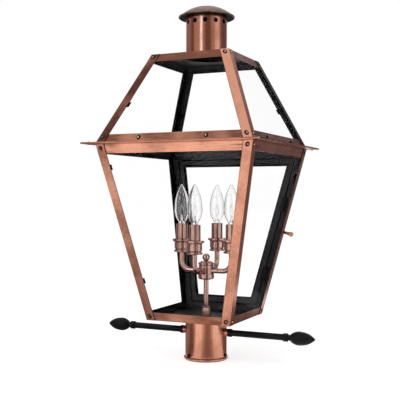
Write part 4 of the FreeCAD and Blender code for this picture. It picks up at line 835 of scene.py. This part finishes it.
def soft_lamp(name, place, size, power):
    """A rectangle of light that looks at the lantern and shows in no metal."""
    lamp_data = bpy.data.lights.new(name, "AREA")
    lamp_data.shape = "RECTANGLE"
    lamp_data.size, lamp_data.size_y = size
    lamp_data.energy = power
    lamp = bpy.data.objects.new(name, lamp_data)
    lamp.location = place
    lamp.rotation_mode = "QUATERNION"
    lamp.rotation_quaternion = (LANTERN_MIDDLE - Vector(place)).to_track_quat("-Z", "Y")
    lamp.visible_glossy = False
    bpy.context.scene.collection.objects.link(lamp)


for lamp in LAMPS:
    soft_lamp(*lamp)
print(len(LAMPS), "soft lamps stand in front")

# %% One card
CARD_STEPS = 12
MIRRORED_ONCE = 0.5


def curved_card(name, outline, start, end, glow):
    """Sweeps an outline of (distance, height) round the lantern from one bearing to another."""
    shape = bmesh.new()
    verts = [shape.verts.new((distance, 0.0, height)) for distance, height in outline]
    edges = [shape.edges.new(pair) for pair in zip(verts, verts[1:])]
    bmesh.ops.rotate(shape, matrix=Matrix.Rotation(math.radians(start), 3, "Z"), verts=verts)
    bmesh.ops.spin(shape, geom=verts + edges, axis=(0.0, 0.0, 1.0), cent=(0.0, 0.0, 0.0),
                   angle=math.radians(end - start), steps=CARD_STEPS)
    mesh = bpy.data.meshes.new(name)
    shape.to_mesh(mesh)
    shape.free()
    material, tree, shader = new_material(name)
    shader.inputs["Base Color"].default_value = (0.0, 0.0, 0.0, 1.0)
    shader.inputs["Specular IOR Level"].default_value = 0.0
    shader.inputs["Emission Color"].default_value = glow
    shader.inputs["Emission Strength"].default_value = 1.0
    bounces = add(tree, "ShaderNodeLightPath").outputs["Glossy Depth"]
    mirrored = math_node(tree, "GREATER_THAN", bounces, MIRRORED_ONCE)
    tree.links.new(mirrored, shader.inputs["Alpha"])
    mesh.materials.append(material)
    card = bpy.data.objects.new(name, mesh)
    bpy.context.scene.collection.objects.link(card)
    for ray in ("camera", "diffuse", "shadow"):
        setattr(card, "visible_" + ray, False)


# %% All the cards
WARM_DARK = (0.15, 0.10, 0.085, 1.0)
WARM_MIDDLE = (0.45, 0.38, 0.35, 1.0)
WARM_SHADE = (0.30, 0.23, 0.20, 1.0)
COOL_DARK = (0.18, 0.15, 0.165, 1.0)
MAUVE = (0.30, 0.25, 0.28, 1.0)
WINDOW = (1.5, 2.1, 2.7, 1.0)
PALE_GREY = (0.9, 0.9, 0.9, 1.0)
ROUND_COLLAR, COLLAR_EDGE, NEAR_EDGE = (0.06, 0.002), (0.40, 0.002), (0.55, 0.002)
WALL_FOOT, WALL_MIDDLE, WALL_TOP = (2.2, 0.002), (2.2, 0.7), (2.2, 1.7)
COLLAR_FLOOR = (ROUND_COLLAR, COLLAR_EDGE)
NEAR_FLOOR = (ROUND_COLLAR, NEAR_EDGE)
FAR_AND_LOW = (NEAR_EDGE, WALL_FOOT, WALL_MIDDLE)
FAR_AND_UP = FAR_AND_LOW + (WALL_TOP,)
HIGH_WALL = (WALL_MIDDLE, WALL_TOP)
ALL_THE_WAY_UP = (ROUND_COLLAR,) + FAR_AND_UP
CEILING = ((0.0, 1.75), (2.2, 1.75))
# name, outline, first and last bearing in degrees, glow
CARDS = (
    ("behind_camera", FAR_AND_UP, -73.0, -42.0, WARM_DARK),
    ("behind_camera_near", NEAR_FLOOR, -73.0, -42.0, WARM_SHADE),
    ("behind_camera_low", NEAR_FLOOR, -86.0, -73.0, WARM_MIDDLE),
    ("behind_camera_right_low", NEAR_FLOOR, -42.0, -30.0, WARM_MIDDLE),
    ("behind_camera_high", HIGH_WALL, -90.0, -73.0, WARM_SHADE),
    ("behind_camera_right_high", HIGH_WALL, -42.0, -18.0, WARM_MIDDLE),
    ("window", HIGH_WALL, -102.0, -90.0, WINDOW),
    ("window_left", HIGH_WALL, -140.0, -102.0, WARM_MIDDLE),
    ("left", ALL_THE_WAY_UP, 198.0, 222.0, WARM_DARK),
    ("left_low", NEAR_FLOOR, 222.0, 236.0, WARM_DARK),
    ("far_left", ALL_THE_WAY_UP, 125.0, 198.0, MAUVE),
    ("right", FAR_AND_LOW, 24.0, 85.0, COOL_DARK),
    ("right_high", HIGH_WALL, 13.0, 85.0, COOL_DARK),
    ("right_low", COLLAR_FLOOR, 24.0, 105.0, WARM_DARK),
    ("overhead", CEILING, 0.0, 360.0, PALE_GREY),
)
for name, outline, start, end, glow in CARDS:
    curved_card("card_" + name, outline, start, end, glow)
print(len(CARDS), "cards stand round the lantern")
